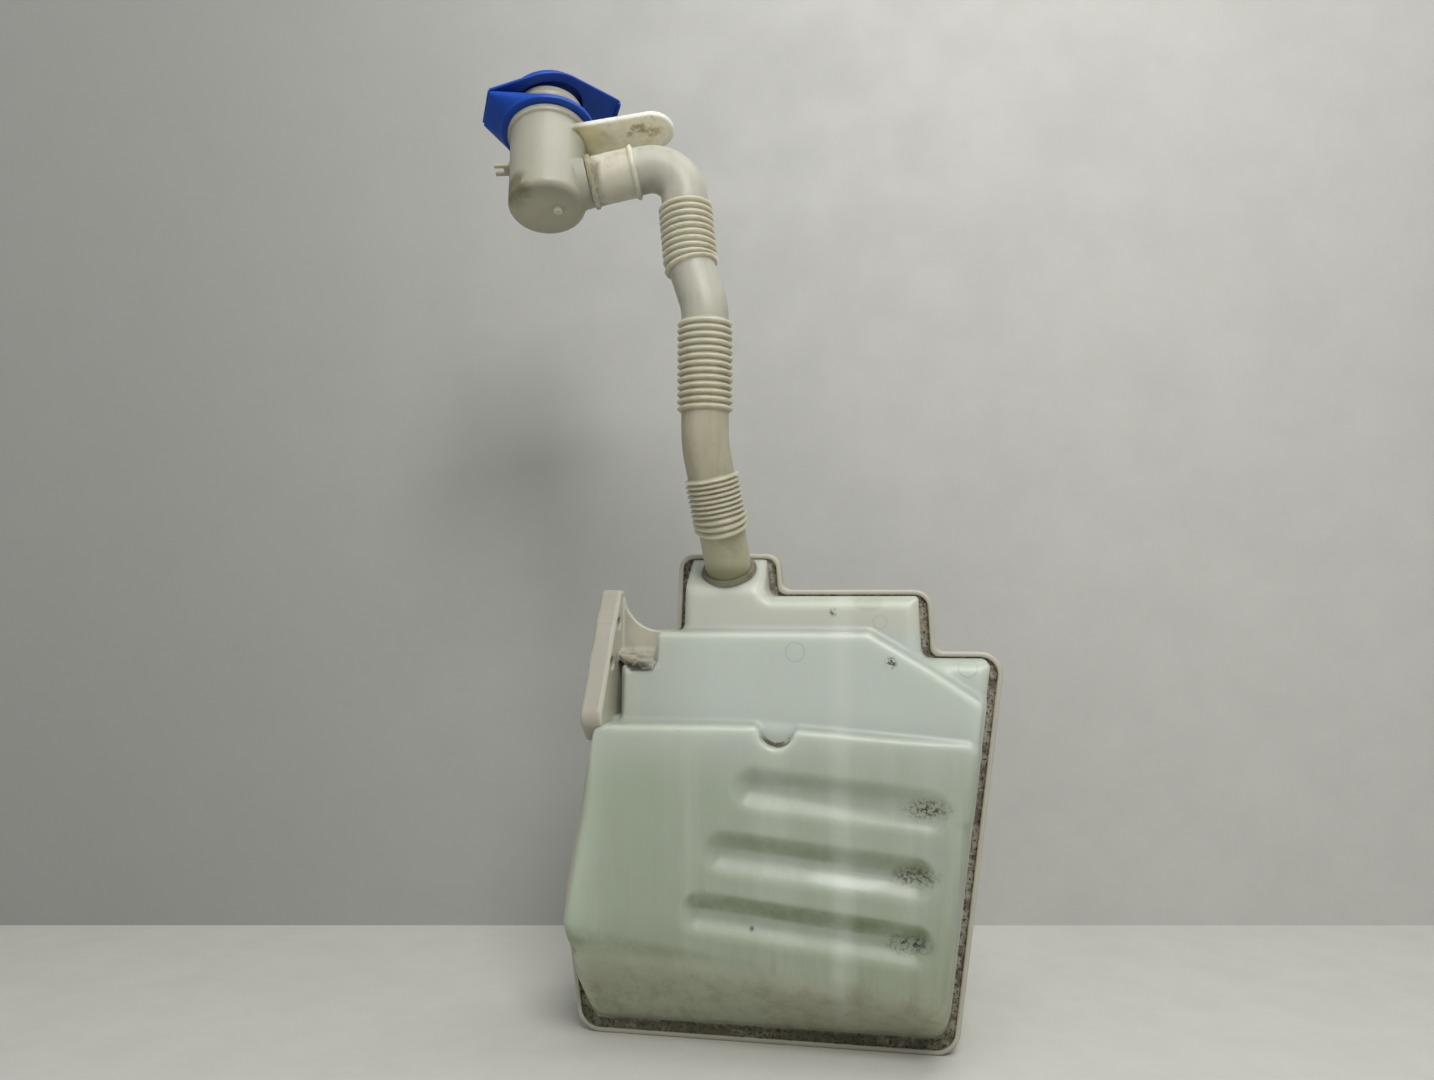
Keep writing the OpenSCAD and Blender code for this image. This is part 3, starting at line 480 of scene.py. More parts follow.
def tank_finish():
    """Milky plastic with painted light: paler upwards and where the plastic is thin, painted shade lower down, in the
    grooves and on the ledges, and a painted highlight; with dust in the grooves and darker, browner patches along the
    chamfer.
    """
    f = Finish("tank_milky", PALE, 0.40, depth=0.85, radius=(0.018, 0.019, 0.015), relief=0.0003)
    f.shader.inputs["Specular IOR Level"].default_value = 0.4
    x, _, z = f.where()
    upwards = f.facing()[2]
    # painted light: paler upwards, where the light from above falls; darker at the upper left; painted shade, greener,
    # towards the lower left and the bottom; and painted light along the lower left edge
    f.lay(f.ramp(z, 0.165, 0.225), CLOUDY)
    f.lay(f.ramp(z, 0.262, 0.274), WHITE)
    f.lay(f.times(f.ramp(x, -0.02, -0.085, 0.75), f.ramp(z, 0.185, 0.215)), (0.40, 0.425, 0.365))
    f.lay(f.times(f.ramp(x, 0.03, -0.06, 0.5), f.ramp(z, 0.23, 0.11)), (0.34, 0.385, 0.295))
    f.lay(f.ramp(z, 0.155, 0.06, 0.35), (0.265, 0.30, 0.225))
    f.lay(f.times(f.ramp(x, -0.085, -0.12, 0.7), f.ramp(z, 0.03, 0.12)), (0.47, 0.52, 0.43))
    # clouds and streaks in the plastic
    f.lay(f.times(f.grime(11.0, 0.52, 0.16), f.ramp(z, 0.21, 0.18, 0.35)), (0.32, 0.375, 0.275))
    f.lay(f.times(f.streaks(55.0, 0.56, 0.12), 0.30), (0.50, 0.53, 0.465))
    f.lay(f.times(f.streaks(150.0, 0.60, 0.10), f.ramp(z, 0.20, 0.05, 0.35)), (0.29, 0.31, 0.215))
    # painted shade, with dust, where the grooves turn down; painted shade on the upward-facing ledges and low down; and
    # painted light on the downward-facing chamfer
    shaded = f.times(f.ramp(upwards, -0.05, -0.38), f.ramp(z, 0.20, 0.08, 0.95))
    shaded = f.times(shaded, f.ramp(z, 0.062, 0.076))
    f.lay(f.times(shaded, f.grime(30.0, 0.44, 0.25)), (0.17, 0.21, 0.115))
    f.lay(f.ramp(upwards, 0.35, 0.8, 0.45), (0.30, 0.335, 0.265))
    f.lay(f.times(f.ramp(upwards, -0.2, 0.05), f.ramp(z, 0.10, 0.075, 0.4)), (0.25, 0.29, 0.205))
    f.lay(f.times(f.ramp(upwards, -0.15, -0.5), f.ramp(z, 0.085, 0.055, 0.5)), (0.48, 0.49, 0.37))
    # a painted highlight in the middle groove, glossier there too, and a pale upright streak
    painted_highlight = f.spot((0.057, -0.045, 0.118), (0.034, 0.03, 0.009), 0.5)
    f.lay(f.times(painted_highlight, f.ramp(upwards, 0.08, 0.25, 0.6)), (0.44, 0.49, 0.43), 0.27)
    streak = f.times(f.band(x, 0.0525, 0.011), f.grime(9.0, 0.42, 0.2))
    f.lay(f.times(streak, 0.4), (0.60, 0.63, 0.57))
    # darker, browner patches along the chamfer
    f.lay(f.times(f.ramp(z, 0.078, 0.03, 0.5), f.grime(15.0, 0.46, 0.18)), (0.25, 0.24, 0.15), 0.5)
    f.lay(f.times(f.ramp(z, 0.085, 0.04, 0.45), f.streaks(90.0, 0.55, 0.1)), (0.21, 0.215, 0.13), 0.5)
    # dust at the grooves' right ends, and small dark marks
    for gx, gz in ((0.1084, 0.1612), (0.1003, 0.1207), (0.0964, 0.0805)):
        dust = f.spot((gx - 0.004, -0.043, gz), (0.020, 0.03, 0.009), 0.0)
        f.lay(f.times(dust, 0.45), OLIVE)
        f.lay(f.times(dust, f.grime(420.0, 0.52, 0.05)), NEAR_BLACK, 0.7)
    for cx, cz, size in ((-0.118, 0.067, 0.006), (-0.003, 0.0862, 0.0022), (0.083, 0.2495, 0.005),
                         (0.047, 0.2806, 0.004)):
        dot = f.spot((cx, -0.045, cz), (size, 0.03, size), 0.2)
        f.lay(f.times(dot, f.grime(330.0, 0.49, 0.05)), NEAR_BLACK)
    # dirt in the bottom of the notch
    outer = f.spot((0.0125, -0.048, 0.2085), (0.0122, 0.03, 0.0122), 0.9)
    inner = f.spot((0.0125, -0.048, 0.2085), (0.0098, 0.03, 0.0098), 0.85)
    seat = f.times(f.math("SUBTRACT", outer, inner), f.ramp(z, 0.206, 0.200))
    f.lay(f.times(seat, f.grime(150.0, 0.47, 0.08)), (0.09, 0.085, 0.055), 0.7)
    # moulding marks on the panel, and specks all over
    f.lay(f.times(f.spot((0.069, -0.033, 0.2865), (0.0105, 0.02, 0.0065), 0.75), 0.16), OLIVE)
    for cx, cz, size in ((0.0237, 0.2557, 0.0068), (0.0763, 0.2744, 0.0048), (0.1297, 0.2464, 0.0066)):
        outer = f.spot((cx, -0.037, cz), (size, 0.02, size), 0.9)
        inner = f.spot((cx, -0.037, cz), (size * 0.9, 0.02, size * 0.9), 0.9)
        f.lay(f.times(f.math("SUBTRACT", outer, inner), 0.35), OLIVE)
    f.lay(f.times(f.grime(260.0, 0.72, 0.02), 0.6), BROWN)
    return f.done()


# The flange's section: how far in from its edge, and how far off the weld plane.
FLANGE = [(0.0, 0.0), (0.0, 3.6), (0.25, 4.4), (0.9, 4.9), (1.9, 5.0), (2.9, 4.8), (3.5, 4.2), (3.7, 3.2), (4.2, 2.6),
          (6.0, 2.4), (8.0, 2.6), (9.3, 3.6), (12.0, 3.6), (12.0, 0.0)]
CHANNEL_FROM, CHANNEL_TO = 3.4, 10.0


def flange_finish():
    """Cream plastic, with dirt lying in the channel behind the lip."""
    f = Finish("weld_flange_grimy", (0.46, 0.435, 0.36), 0.45, depth=0.05)
    z = f.where()[2]
    channel = f.mark("channel")
    dirt = f.times(channel, f.grime(200.0, 0.50, 0.10))
    f.lay(f.times(channel, 0.7), (0.25, 0.225, 0.165), 0.7)
    f.lay(dirt, (0.12, 0.10, 0.068), 0.8)
    mud = f.times(f.times(channel, f.ramp(z, 0.02, 0.01, 0.9)), f.grime(60.0, 0.40, 0.15))
    f.lay(mud, (0.07, 0.068, 0.035), 0.8)
    f.lay(f.times(f.math("SUBTRACT", 1.0, channel), f.ramp(z, 0.012, 0.004, 0.5)), (0.26, 0.24, 0.18))
    f.lay(f.times(channel, f.grime(420.0, 0.56, 0.04)), NEAR_BLACK, 0.9)
    return f.done()


def weld_flange(name, side, material):
    """One half of the flange: a rounded lip, and the channel between it and the tank's wall."""
    rings = [rounded(drawn_in(EDGE, d)) for d, _ in FLANGE]
    n = len(rings[0])
    points = np.vstack([np.column_stack([ring[:, 0], np.full(n, side * -h), ring[:, 1]])
                        for ring, (_, h) in zip(rings, FLANGE)])
    faces = []
    for i in range(len(FLANGE) - 1):
        for k in range(n):
            a, b = i * n + k, i * n + (k + 1) % n
            quad = [a, a + n, b + n, b]
            faces.append(quad if side > 0 else quad[::-1])
    last = (len(FLANGE) - 1) * n
    for k in range(n):
        quad = [last + k, k, (k + 1) % n, last + (k + 1) % n]
        faces.append(quad if side > 0 else quad[::-1])
    obj = piece(name, points, faces, material, slot="tank")
    deep = [1.0 if CHANNEL_FROM < d < CHANNEL_TO else 0.0 for d, _ in FLANGE]
    channel = obj.data.attributes.new("channel", "FLOAT", "POINT")
    channel.data.foreach_set("value", np.repeat(deep, n))


# ---- the bracket -------------------------------------------------------------------------------

BRACKET = rounded([[1, 204, 4], [1, 295, 4], [12, 295, 6], [63, 213, 9], [46, 198, 5]])
BRACKET_X, BRACKET_HALF, BRACKET_RIM, POCKET_X = -103.5, 7.0, 3.5, -100.0
BOLT_GAP, BOLT_LEAN, BOLT_R, BOSS_R = 30.5, math.radians(33), 4.0, 7.5
BOLTS = [(26 + s * BOLT_GAP * math.sin(BOLT_LEAN), 260 - s * BOLT_GAP * math.cos(BOLT_LEAN)) for s in (-0.5, 0.5)]
ARC_X, ARC_Z, ARC_R = -70.0, 294.0, 26.5


def box_field(x, y, z, low, high, r):
    q = [np.abs(v - (a + b) / 2) - (b - a) / 2 for v, a, b in zip((x, y, z), low, high)]
    return trimmed(trimmed(q[0], q[1], r), q[2], r)


def bracket_field(x, y, z):
    """A rimmed plate with two bosses, tied to the tank by a sloping ledge and a gusset with a round corner."""
    u = -y
    side = within(BRACKET, u, z)
    body = trimmed(side, np.abs(x - BRACKET_X) - BRACKET_HALF, 2.5)
    pocket = np.maximum(side + BRACKET_RIM, x - POCKET_X)
    body = trimmed(body, -pocket, 0.8)
    for bu, bz in BOLTS:
        r = np.hypot(u - bu, z - bz)
        boss = np.maximum(np.maximum(r - BOSS_R, side + 0.6), span(x, -110, -97))
        body = trimmed(joined(body, boss, 1.2), BOLT_R - r, 0.7)
    ledge = box_field(x, u, z + 0.2 * u, (-99, 3, 252.5), (-67, 43.5, 256), 1.0)
    ledge = np.maximum(ledge, (u - 18 - 1.7 * (x + 96.5)) / 2)
    body = joined(body, ledge, 2)
    arc = np.hypot(x - ARC_X, z - ARC_Z) - ARC_R
    gusset = trimmed(box_field(x, u, z, (-99, 2, 250), (-66, 7, 288), 1.0), -arc, 1.0)
    return joined(body, gusset, 3)


def bracket_finish():
    f = Finish("bracket_white", (0.385, 0.37, 0.31), 0.42, depth=0.4, radius=(0.005, 0.0045, 0.0035))
    # painted light: paler on the faces turned towards +x, which lie in shade
    f.lay(f.ramp(f.facing()[0], 0.4, 0.85), (0.52, 0.505, 0.42))
    # painted light: a pale spot on the recess's back between the plate and the bulge
    f.lay(f.spot((-0.082, -0.025, 0.266), (0.018, 0.035, 0.018), 0.5), (0.48, 0.465, 0.37))
    # darker under the ledge
    under_ledge_dark = f.times(f.spot((-0.080, -0.041, 0.2462), (0.018, 0.016, 0.0045), 0.3), f.grime(260.0, 0.43, 0.06))
    f.lay(under_ledge_dark, NEAR_BLACK, 0.7)
    dirt = f.times(f.spot((-0.086, -0.025, 0.251), (0.017, 0.03, 0.010), 0.2), f.grime(150.0, 0.52, 0.1))
    f.lay(dirt, BROWN, 0.6)
    f.lay(f.times(f.grime(200.0, 0.68, 0.03), 0.6), BROWN)
    return f.done()


# ---- the filler pipe ---------------------------------------------------------------------------

def turn(axis, degrees):
    return np.array(Matrix.Rotation(math.radians(degrees), 3, axis))


HEAD_AT = np.array([-134.6, -60.0, 543.0])
HEAD = turn("Z", 10) @ turn("X", -22.6) @ turn("Y", -3.2)
STUB = turn("Z", -7) @ turn("Y", -10)
STUB_RISE = 11.0
CUFF_END, CUFF_LEN, CUFF_R = 29.3, 31.0, 16.0
PIPE_R, CREST_H, RING_H, RING_W = 15.0, 2.7, 1.6, 3.0
ELBOW_REACH, ELBOW_DROP = 90.5, 2.5
FOOT_DIR = np.array([-0.05, -math.sin(math.radians(FOOT_LEAN)), math.cos(math.radians(FOOT_LEAN))])
FOOT_DIR = FOOT_DIR / np.linalg.norm(FOOT_DIR)
# Each bellows: its start along the pipe, its crests and their pitch.
BELLOWS = {"Lower": (38.0, 11, 3.2), "Middle": (113.0, 13, 4.5), "Upper": (208.0, 10, 4.4)}
BEND_STEP, PATH_STEP, PIPE_SIDES, SOFT = 1.0, 0.62, 56, 0.0004


def on_head(x, y, z):
    """A place on the filler head, in metres."""
    return ((HEAD_AT + HEAD @ np.array([x, y, z])) * MM).tolist()


def stub_point(reach):
    return HEAD_AT + HEAD @ (np.array([0, 0, STUB_RISE]) + STUB @ np.array([reach, 0, 0]))


def pipe_run():
    """Points along the pipe's middle, from its foot to its cuff: straights with rounded bends."""
    corners = [FOOT_AT - FOOT_DIR * 5, FOOT_AT + FOOT_DIR * 37, np.array([-31.4, -54, 386]),
               np.array([-31.4, -54, 474]), np.array([-41.5, -50, 503]),
               stub_point(ELBOW_REACH) - np.array([0, 0, ELBOW_DROP]), stub_point(CUFF_END)]
    bends = [0, 34, 60, 40, 40, 22, 0]
    run = [corners[0]]
    for i in range(1, len(corners) - 1):
        d = (corners[i] - corners[i - 1]) / np.linalg.norm(corners[i] - corners[i - 1])
        e = (corners[i + 1] - corners[i]) / np.linalg.norm(corners[i + 1] - corners[i])
        angle = math.acos(float(np.clip(d @ e, -1, 1)))
        start = corners[i] - d * bends[i] * math.tan(angle / 2)
        side = e - d * (d @ e)
        side = side / np.linalg.norm(side)
        count = max(3, int(bends[i] * angle / BEND_STEP))
        run += [start + bends[i] * (d * math.sin(angle * k / count) + side * (1 - math.cos(angle * k / count)))
                for k in range(count + 1)]
    run.append(corners[-1])
    run = np.array(run)
    along = np.concatenate([[0], np.cumsum(np.linalg.norm(np.diff(run, axis=0), axis=1))])
    even = np.linspace(0, along[-1], int(along[-1] / PATH_STEP))
    return np.column_stack([np.interp(even, along, run[:, k]) for k in range(3)]), along[-1]


def pipe_finish():
    """Cream plastic, yellower towards the tank, with painted light over the bellows and painted shade, browner, in
    their valleys.
    """
    f = Finish("filler_pipe_cream", (0.41, 0.405, 0.35), 0.42, depth=0.9, radius=(0.012, 0.011, 0.009))
    z = f.where()[2]
    ridge, valley = f.mark("ridged"), f.mark("valley")
    f.lay(f.ramp(z, 0.49, 0.40, 0.85), (0.345, 0.32, 0.215))
    # painted light, paler over the bellows, and painted shade, browner, in their valleys
    f.lay(f.times(ridge, 0.5), (0.47, 0.44, 0.33))
    f.lay(f.times(valley, 0.25), (0.31, 0.28, 0.185), 0.5)
    f.lay(f.times(f.streaks(70.0, 0.52, 0.12), 0.35), (0.50, 0.485, 0.395))
    f.lay(f.ramp(z, 0.345, 0.330, 0.7), (0.47, 0.45, 0.32))
    f.lay(f.ramp(z, 0.314, 0.304, 0.85), (0.22, 0.205, 0.11))
    cuff, end = ((stub_point(CUFF_END + further) * MM).tolist() for further in (18, 2))
    f.lay(f.spot(cuff, (0.019, 0.05, 0.05), 0.7), (0.54, 0.52, 0.43))
    f.lay(f.times(f.spot(end, (0.011, 0.05, 0.05), 0.6), f.grime(60.0, 0.42, 0.15)), (0.20, 0.185, 0.105), 0.5)
    f.lay(f.times(f.grime(48.0, 0.60, 0.10), 0.5), (0.30, 0.275, 0.19), 0.5)
    f.lay(f.times(f.grime(330.0, 0.70, 0.03), 0.8), NEAR_BLACK)
    return f.done()


def filler_pipe(material):
    """The pipe's skin, swept along its run by nodes that raise the bellows' crests and the cuff's rings."""
    path, length = pipe_run()
    curve = bpy.data.curves.new("pipe_path", "CURVE")
    curve.dimensions = "3D"
    spline = curve.splines.new("POLY")
    spline.points.add(len(path) - 1)
    spline.points.foreach_set("co", np.column_stack([path * MM, np.ones(len(path))]).ravel())
    obj = bpy.data.objects.new("filler_pipe_skin", curve)
    bpy.context.scene.collection.objects.link(obj)

    tree = bpy.data.node_groups.new("bellows pipe", "GeometryNodeTree")
    tree.interface.new_socket("Geometry", in_out="INPUT", socket_type="NodeSocketGeometry")
    sizes = {"Pipe radius": PIPE_R, "Crest height": CREST_H}
    for part, (start, crests, pitch) in BELLOWS.items():
        sizes.update({part + " start": start, part + " end": start + crests * pitch, part + " pitch": pitch})
    sizes.update({"Cuff start": length - CUFF_LEN, "Cuff end": length, "Cuff step": CUFF_R - PIPE_R,
                  "Ring height": RING_H, "Ring width": RING_W})
    idents = {k: tree.interface.new_socket(k, in_out="INPUT", socket_type=FLOAT).identifier for k in sizes}
    tree.interface.new_socket("Geometry", in_out="OUTPUT", socket_type="NodeSocketGeometry")
    given = tree.nodes.new("NodeGroupInput").outputs
    out = tree.nodes.new("NodeGroupOutput").inputs

    def calc(kind, a, b=0.0, c=0.0):
        return add(tree, "ShaderNodeMath", {0: a, 1: b, 2: c}, operation=kind).outputs[0]

    def step(value, at, before, after):
        low, high = calc("SUBTRACT", at, SOFT), calc("ADD", at, SOFT)
        return add(tree, "ShaderNodeMapRange", {"Value": value, "From Min": low, "From Max": high, "To Min": before,
                                                "To Max": after}).outputs["Result"]

    def between(value, low, high):
        return calc("MULTIPLY", step(value, low, 0.0, 1.0), step(value, high, 1.0, 0.0))

    def stored(geometry, name, value):
        return add(tree, "GeometryNodeStoreNamedAttribute", {"Geometry": geometry, "Name": name, "Value": value},
                   domain="POINT").outputs[0]

    s = add(tree, "GeometryNodeSplineParameter").outputs["Length"]
    ridged, wave = None, None
    for part in BELLOWS:
        zone = between(s, given[part + " start"], given[part + " end"])
        phase = calc("DIVIDE", calc("SUBTRACT", s, given[part + " start"]), given[part + " pitch"])
        crest = calc("MULTIPLY_ADD", calc("COSINE", calc("MULTIPLY", phase, 2 * math.pi)), -0.5, 0.5)
        crest = calc("MULTIPLY", zone, calc("POWER", crest, 0.75))
        ridged = zone if ridged is None else calc("ADD", ridged, zone)
        wave = crest if wave is None else calc("ADD", wave, crest)
    beyond = calc("ADD", given["Cuff end"], 1.0)
    cuff = between(s, given["Cuff start"], beyond)
    near = between(s, given["Cuff start"], calc("ADD", given["Cuff start"], given["Ring width"]))
    far = between(s, calc("SUBTRACT", given["Cuff end"], given["Ring width"]), beyond)
    radius = calc("MULTIPLY_ADD", wave, given["Crest height"], given["Pipe radius"])
    radius = calc("MULTIPLY_ADD", cuff, given["Cuff step"], radius)
    radius = calc("MULTIPLY_ADD", calc("ADD", near, far), given["Ring height"], radius)
    marked = stored(given["Geometry"], "ridged", ridged)
    marked = stored(marked, "valley", calc("MULTIPLY", ridged, calc("SUBTRACT", 1.0, wave)))
    circle = add(tree, "GeometryNodeCurvePrimitiveCircle", {"Resolution": PIPE_SIDES, "Radius": 1.0})
    sweep = add(tree, "GeometryNodeCurveToMesh", {"Curve": marked, "Profile Curve": circle.outputs[0],
                                                  "Scale": radius, "Fill Caps": True})
    smooth = add(tree, "GeometryNodeSetShadeSmooth", {0: sweep.outputs[0]})
    real = add(tree, "GeometryNodeRealizeInstances", {0: smooth.outputs[0]})
    dressed = add(tree, "GeometryNodeSetMaterial", {"Geometry": real.outputs[0], "Material": material})
    tree.links.new(dressed.outputs[0], out["Geometry"])

    nodes = obj.modifiers.new("bellows", "NODES")
    nodes.node_group = tree
    for label, size in sizes.items():
        nodes[idents[label]] = size * MM
    done = obj.evaluated_get(bpy.context.evaluated_depsgraph_get())
    mesh = bpy.data.meshes.new_from_object(done)
    bpy.data.objects.remove(obj)
    mesh.name = "filler_pipe_skin"
    pipe = bpy.data.objects.new("filler_pipe_skin", mesh)
    bpy.context.scene.collection.objects.link(pipe)
    if not mesh.materials:
        mesh.materials.append(material)
    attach(pipe, "reservoir")
    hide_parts("filler_pipe")


# ---- the filler head ---------------------------------------------------------------------------

CUP_R, CUP_H, CUP_BOTTOM, CUP_RIM_R, CUP_RIM_Z = 25.0, 64.0, -2.5, 27.0, 61.5
MOUTH_R, MOUTH_H, BORE_R, THROAT_R, WAY_R = 23.0, 20.5, 22.8, 20.8, 10.3
THREAD_H, THREAD_PITCH, THREAD_Z = 0.6, 4.0, 7.1
TONGUE_H, TONGUE_LEN, TONGUE_R, TONGUE_TURN = 52.05, 85.5, 15.0, math.radians(-9)
CLIP_Z, CLIP_HALF = 34.0, 1.25
GATE_X, GATE_R, SPIGOT_R = 7.0, 3.2, 12.5


def capsule(x, y, a, b, r):
    """A round-ended strip from a to b along x."""
    return np.hypot(x - np.clip(x, a, b), y) - r


def head_field(x, y, z):
    """A cup with a threaded neck, a fixing tongue, a clip, a moulding gate and a spigot for the pipe's cuff."""
    r = np.hypot(x, y)
    cup = trimmed(trimmed(r - CUP_R, CUP_BOTTOM - z, 4.5), z - CUP_H, 1)
    rim = trimmed(r - CUP_RIM_R, np.abs(z - CUP_RIM_Z) - 2.5, 1.2)
    body = joined(cup, rim, 1.5)
    thread = np.clip(np.cos(2 * math.pi * (z - CUP_H - THREAD_Z) / THREAD_PITCH) * 1.6, 0, 1)
    thread = THREAD_H * thread * ((z > CUP_H + 5) & (z < CUP_H + 17))
    neck = trimmed(trimmed(r - MOUTH_R - thread, z - CUP_H - MOUTH_H, 0.8), 50 - z, 0.5)
    body = joined(body, neck, 0.8)
    across, along = math.sin(TONGUE_TURN), math.cos(TONGUE_TURN)
    tx, ty = x * along + y * across, -x * across + y * along
    strip = capsule(tx, ty, 0, TONGUE_LEN - TONGUE_R, TONGUE_R)
    plate = trimmed(strip, np.abs(z - TONGUE_H) - 1.25, 0.8)
    bead = trimmed(np.abs(strip + 1.3) - 1.3, np.abs(z - TONGUE_H) - 1.9, 0.7)
    plate = np.maximum(joined(plate, bead, 0.6), 20 - tx)
    body = joined(body, plate, 1.5)
    prong = np.maximum(np.abs(y) - 5, span(x, -35, -23))
    prong = np.maximum(prong, -np.maximum(np.abs(y) - 2, x + 29))
    body = joined(body, trimmed(prong, np.abs(z - CLIP_Z) - CLIP_HALF, 0.6), 1.0)
    gate = trimmed(np.hypot(x - GATE_X, y) - GATE_R, -4.6 - z, 1.0)
    body = joined(body, np.maximum(gate, z - 2), 0.6)
    sx, sy, sz = (STUB[0, k] * x + STUB[1, k] * y + STUB[2, k] * (z - STUB_RISE) for k in range(3))
    sr = np.hypot(sy, sz)
    stub = trimmed(sr - CUFF_R, span(sx, 21, 29), 1.0)
    spigot = trimmed(sr - SPIGOT_R, span(sx, 13, 56), 0.6)
    body = joined(body, joined(stub, spigot, 0.4), 1.5)
    hollow = trimmed(trimmed(r - BORE_R, 2.2 - z, 4), z - 62, 1)
    throat = np.maximum(r - THROAT_R, span(z, 55, 90))
    way = np.maximum(sr - WAY_R, 13 - sx)
    inside = np.minimum(joined(hollow, throat, 2), way)
    return trimmed(body, -inside, 0.5)


def head_finish():
    """Cream plastic, with painted light that makes the tongue paler, painted shade at the tongue's root, a painted
    highlight on the moulding gate, and dirt low on the cup and along the tongue.
    """
    f = Finish("filler_head_cream", (0.36, 0.35, 0.285), 0.42, depth=0.8, radius=(0.009, 0.008, 0.006))
    low = f.times(f.spot(on_head(-19, -14, 3), (0.017, 0.020, 0.014), 0.5), f.grime(90.0, 0.43, 0.12))
    f.lay(low, (0.17, 0.155, 0.095), 0.55)
    f.lay(f.spot(on_head(0, 0, -4), (0.031, 0.031, 0.012), 0.3), (0.45, 0.43, 0.335))
    # painted highlight on the moulding gate's nub
    f.lay(f.spot(on_head(GATE_X, 0, -4), (0.0042, 0.0042, 0.0042), 0.6), (0.62, 0.61, 0.53))
    # painted light: the tongue paler, as light comes through it
    f.lay(f.spot(on_head(58, -9, 51), (0.042, 0.034, 0.018), 0.7), (0.74, 0.73, 0.65))
    # painted shade, yellower, at the tongue's root
    f.lay(f.times(f.spot(on_head(30, -8, 51), (0.013, 0.02, 0.006), 0.7), 0.45), (0.56, 0.53, 0.36))
    tip = f.times(f.spot(on_head(60, -12, 51), (0.03, 0.022, 0.02), 0.1), f.grime(110.0, 0.56, 0.09))
    f.lay(tip, (0.34, 0.32, 0.24), 0.6)
    f.lay(f.times(f.grime(38.0, 0.58, 0.12), 0.4), (0.33, 0.31, 0.23))
    f.lay(f.times(f.grime(330.0, 0.71, 0.03), 0.8), NEAR_BLACK)
    return f.done()


# ---- the flip cap ------------------------------------------------------------------------------

CAP = HEAD @ turn("Z", 18)
CAP_AT = HEAD_AT + HEAD @ np.array([0, 0, CUP_H])
FOLD_REACH, FOLD_RISE, FOLD_HALF = 42.0, 14.0, 14.0
FOLD = CAP @ turn("Y", -12.5)
FOLD_AT = CAP_AT + CAP @ np.array([-FOLD_REACH, 0, FOLD_RISE])
COLLAR_R, COLLAR_HALF, TRAY_R, WELL_R, HOLE_R = 31.5, 1.75, 31.1, 29.4, 23.3
FLAP_REACH, FLAP_END_R, FLAP_STEPS = 41.2, 0.4, 6
LID_R, CROWN_R, CROWN_H, CROWN_BORE_R, CROWN_BORE_H = 31.2, 27.2, 10.0, 24.4, 8.4
TAB_X, TAB_HALF, TAB_R = 89.0, 7.5, 3.5
WEB_ROWS, WEB_BULGE, WEB_T = 9, 1.1, 0.5


def collar_field(x, y, z):
    """A ring in the bottom of a tray, whose wall climbs to the film hinge."""
    r = np.hypot(x, y)
    ring = trimmed(r - COLLAR_R, np.abs(z - COLLAR_HALF) - COLLAR_HALF, 0.5)
    first, last = np.clip((z - 3.1) / 10.1, 0, 1), np.clip((z - 0.4) / 10.8, 0, 1)
    wedge = 1e6
    for k in range(FLAP_STEPS + 1):
        t = first + (last - first) * k / FLAP_STEPS
        far = np.hypot(x + FLAP_REACH * t, np.maximum(np.abs(y) - FOLD_HALF * t, 0))
        wedge = np.minimum(wedge, far - TRAY_R * (1 - t) - FLAP_END_R * t)
    wedge = trimmed(wedge, np.abs(z - 6.8) - 6.4, 0.5)
    body = joined(ring, wedge, 0.8)
    body = trimmed(body, -trimmed(r - WELL_R, 2 - z, 1.0), 0.6)
    return trimmed(body, HOLE_R - r, 0.4)


def hull(points):
    """The clockwise outline round a set of points."""
    points = sorted(map(tuple, points))
    chains = []
    for order in (points, points[::-1]):
        chain = []
        for p in order:
            while len(chain) > 1 and ((chain[-1][0] - chain[-2][0]) * (p[1] - chain[-2][1])
                                      - (chain[-1][1] - chain[-2][1]) * (p[0] - chain[-2][0])) <= 0:
                chain.pop()
            chain.append(p)
        chains.append(chain[:-1])
    return np.array(chains[0] + chains[1])[::-1]


def round_points(cx, cy, r, n):
    return [(cx + r * math.cos(2 * math.pi * k / n), cy + r * math.sin(2 * math.pi * k / n)) for k in range(n)]


LID = hull(round_points(FOLD_REACH, 0, LID_R, 72) + [(0.4, -FOLD_HALF), (0.4, FOLD_HALF)]
           + round_points(TAB_X, -TAB_HALF, TAB_R, 20) + round_points(TAB_X, TAB_HALF, TAB_R, 20))


def lid_field(x, y, z):
    """A plate with a grip tab's lip and a hollow crown."""
    side = within(LID, x, y)
    plate = trimmed(side, np.abs(z - 1) - 1, 0.6)
    lip = trimmed(np.maximum(np.abs(x - 91.6) - 0.9, np.abs(y) - 9), np.abs(z) - 2, 0.5)
    r = np.hypot(x - FOLD_REACH, y)
    crown = trimmed(r - CROWN_R, np.maximum(z - CROWN_H, -z), 4.5)
    body = joined(joined(plate, lip, 0.6), crown, 1.5)
    return trimmed(body, -trimmed(r - CROWN_BORE_R, z - CROWN_BORE_H, 2.5), 0.4)


def cap_finish():
    f = Finish("cap_blue", (0.004, 0.056, 0.38), 0.42, depth=0.15, radius=(0.001, 0.002, 0.004))
    f.shader.inputs["Specular IOR Level"].default_value = 0.3
    f.lay(f.times(f.grime(46.0, 0.6, 0.12), 0.35), (0.028, 0.10, 0.37), 0.45)
    f.lay(f.times(f.grime(380.0, 0.70, 0.03), 0.6), (0.01, 0.03, 0.10), 0.6)
    return f.done()


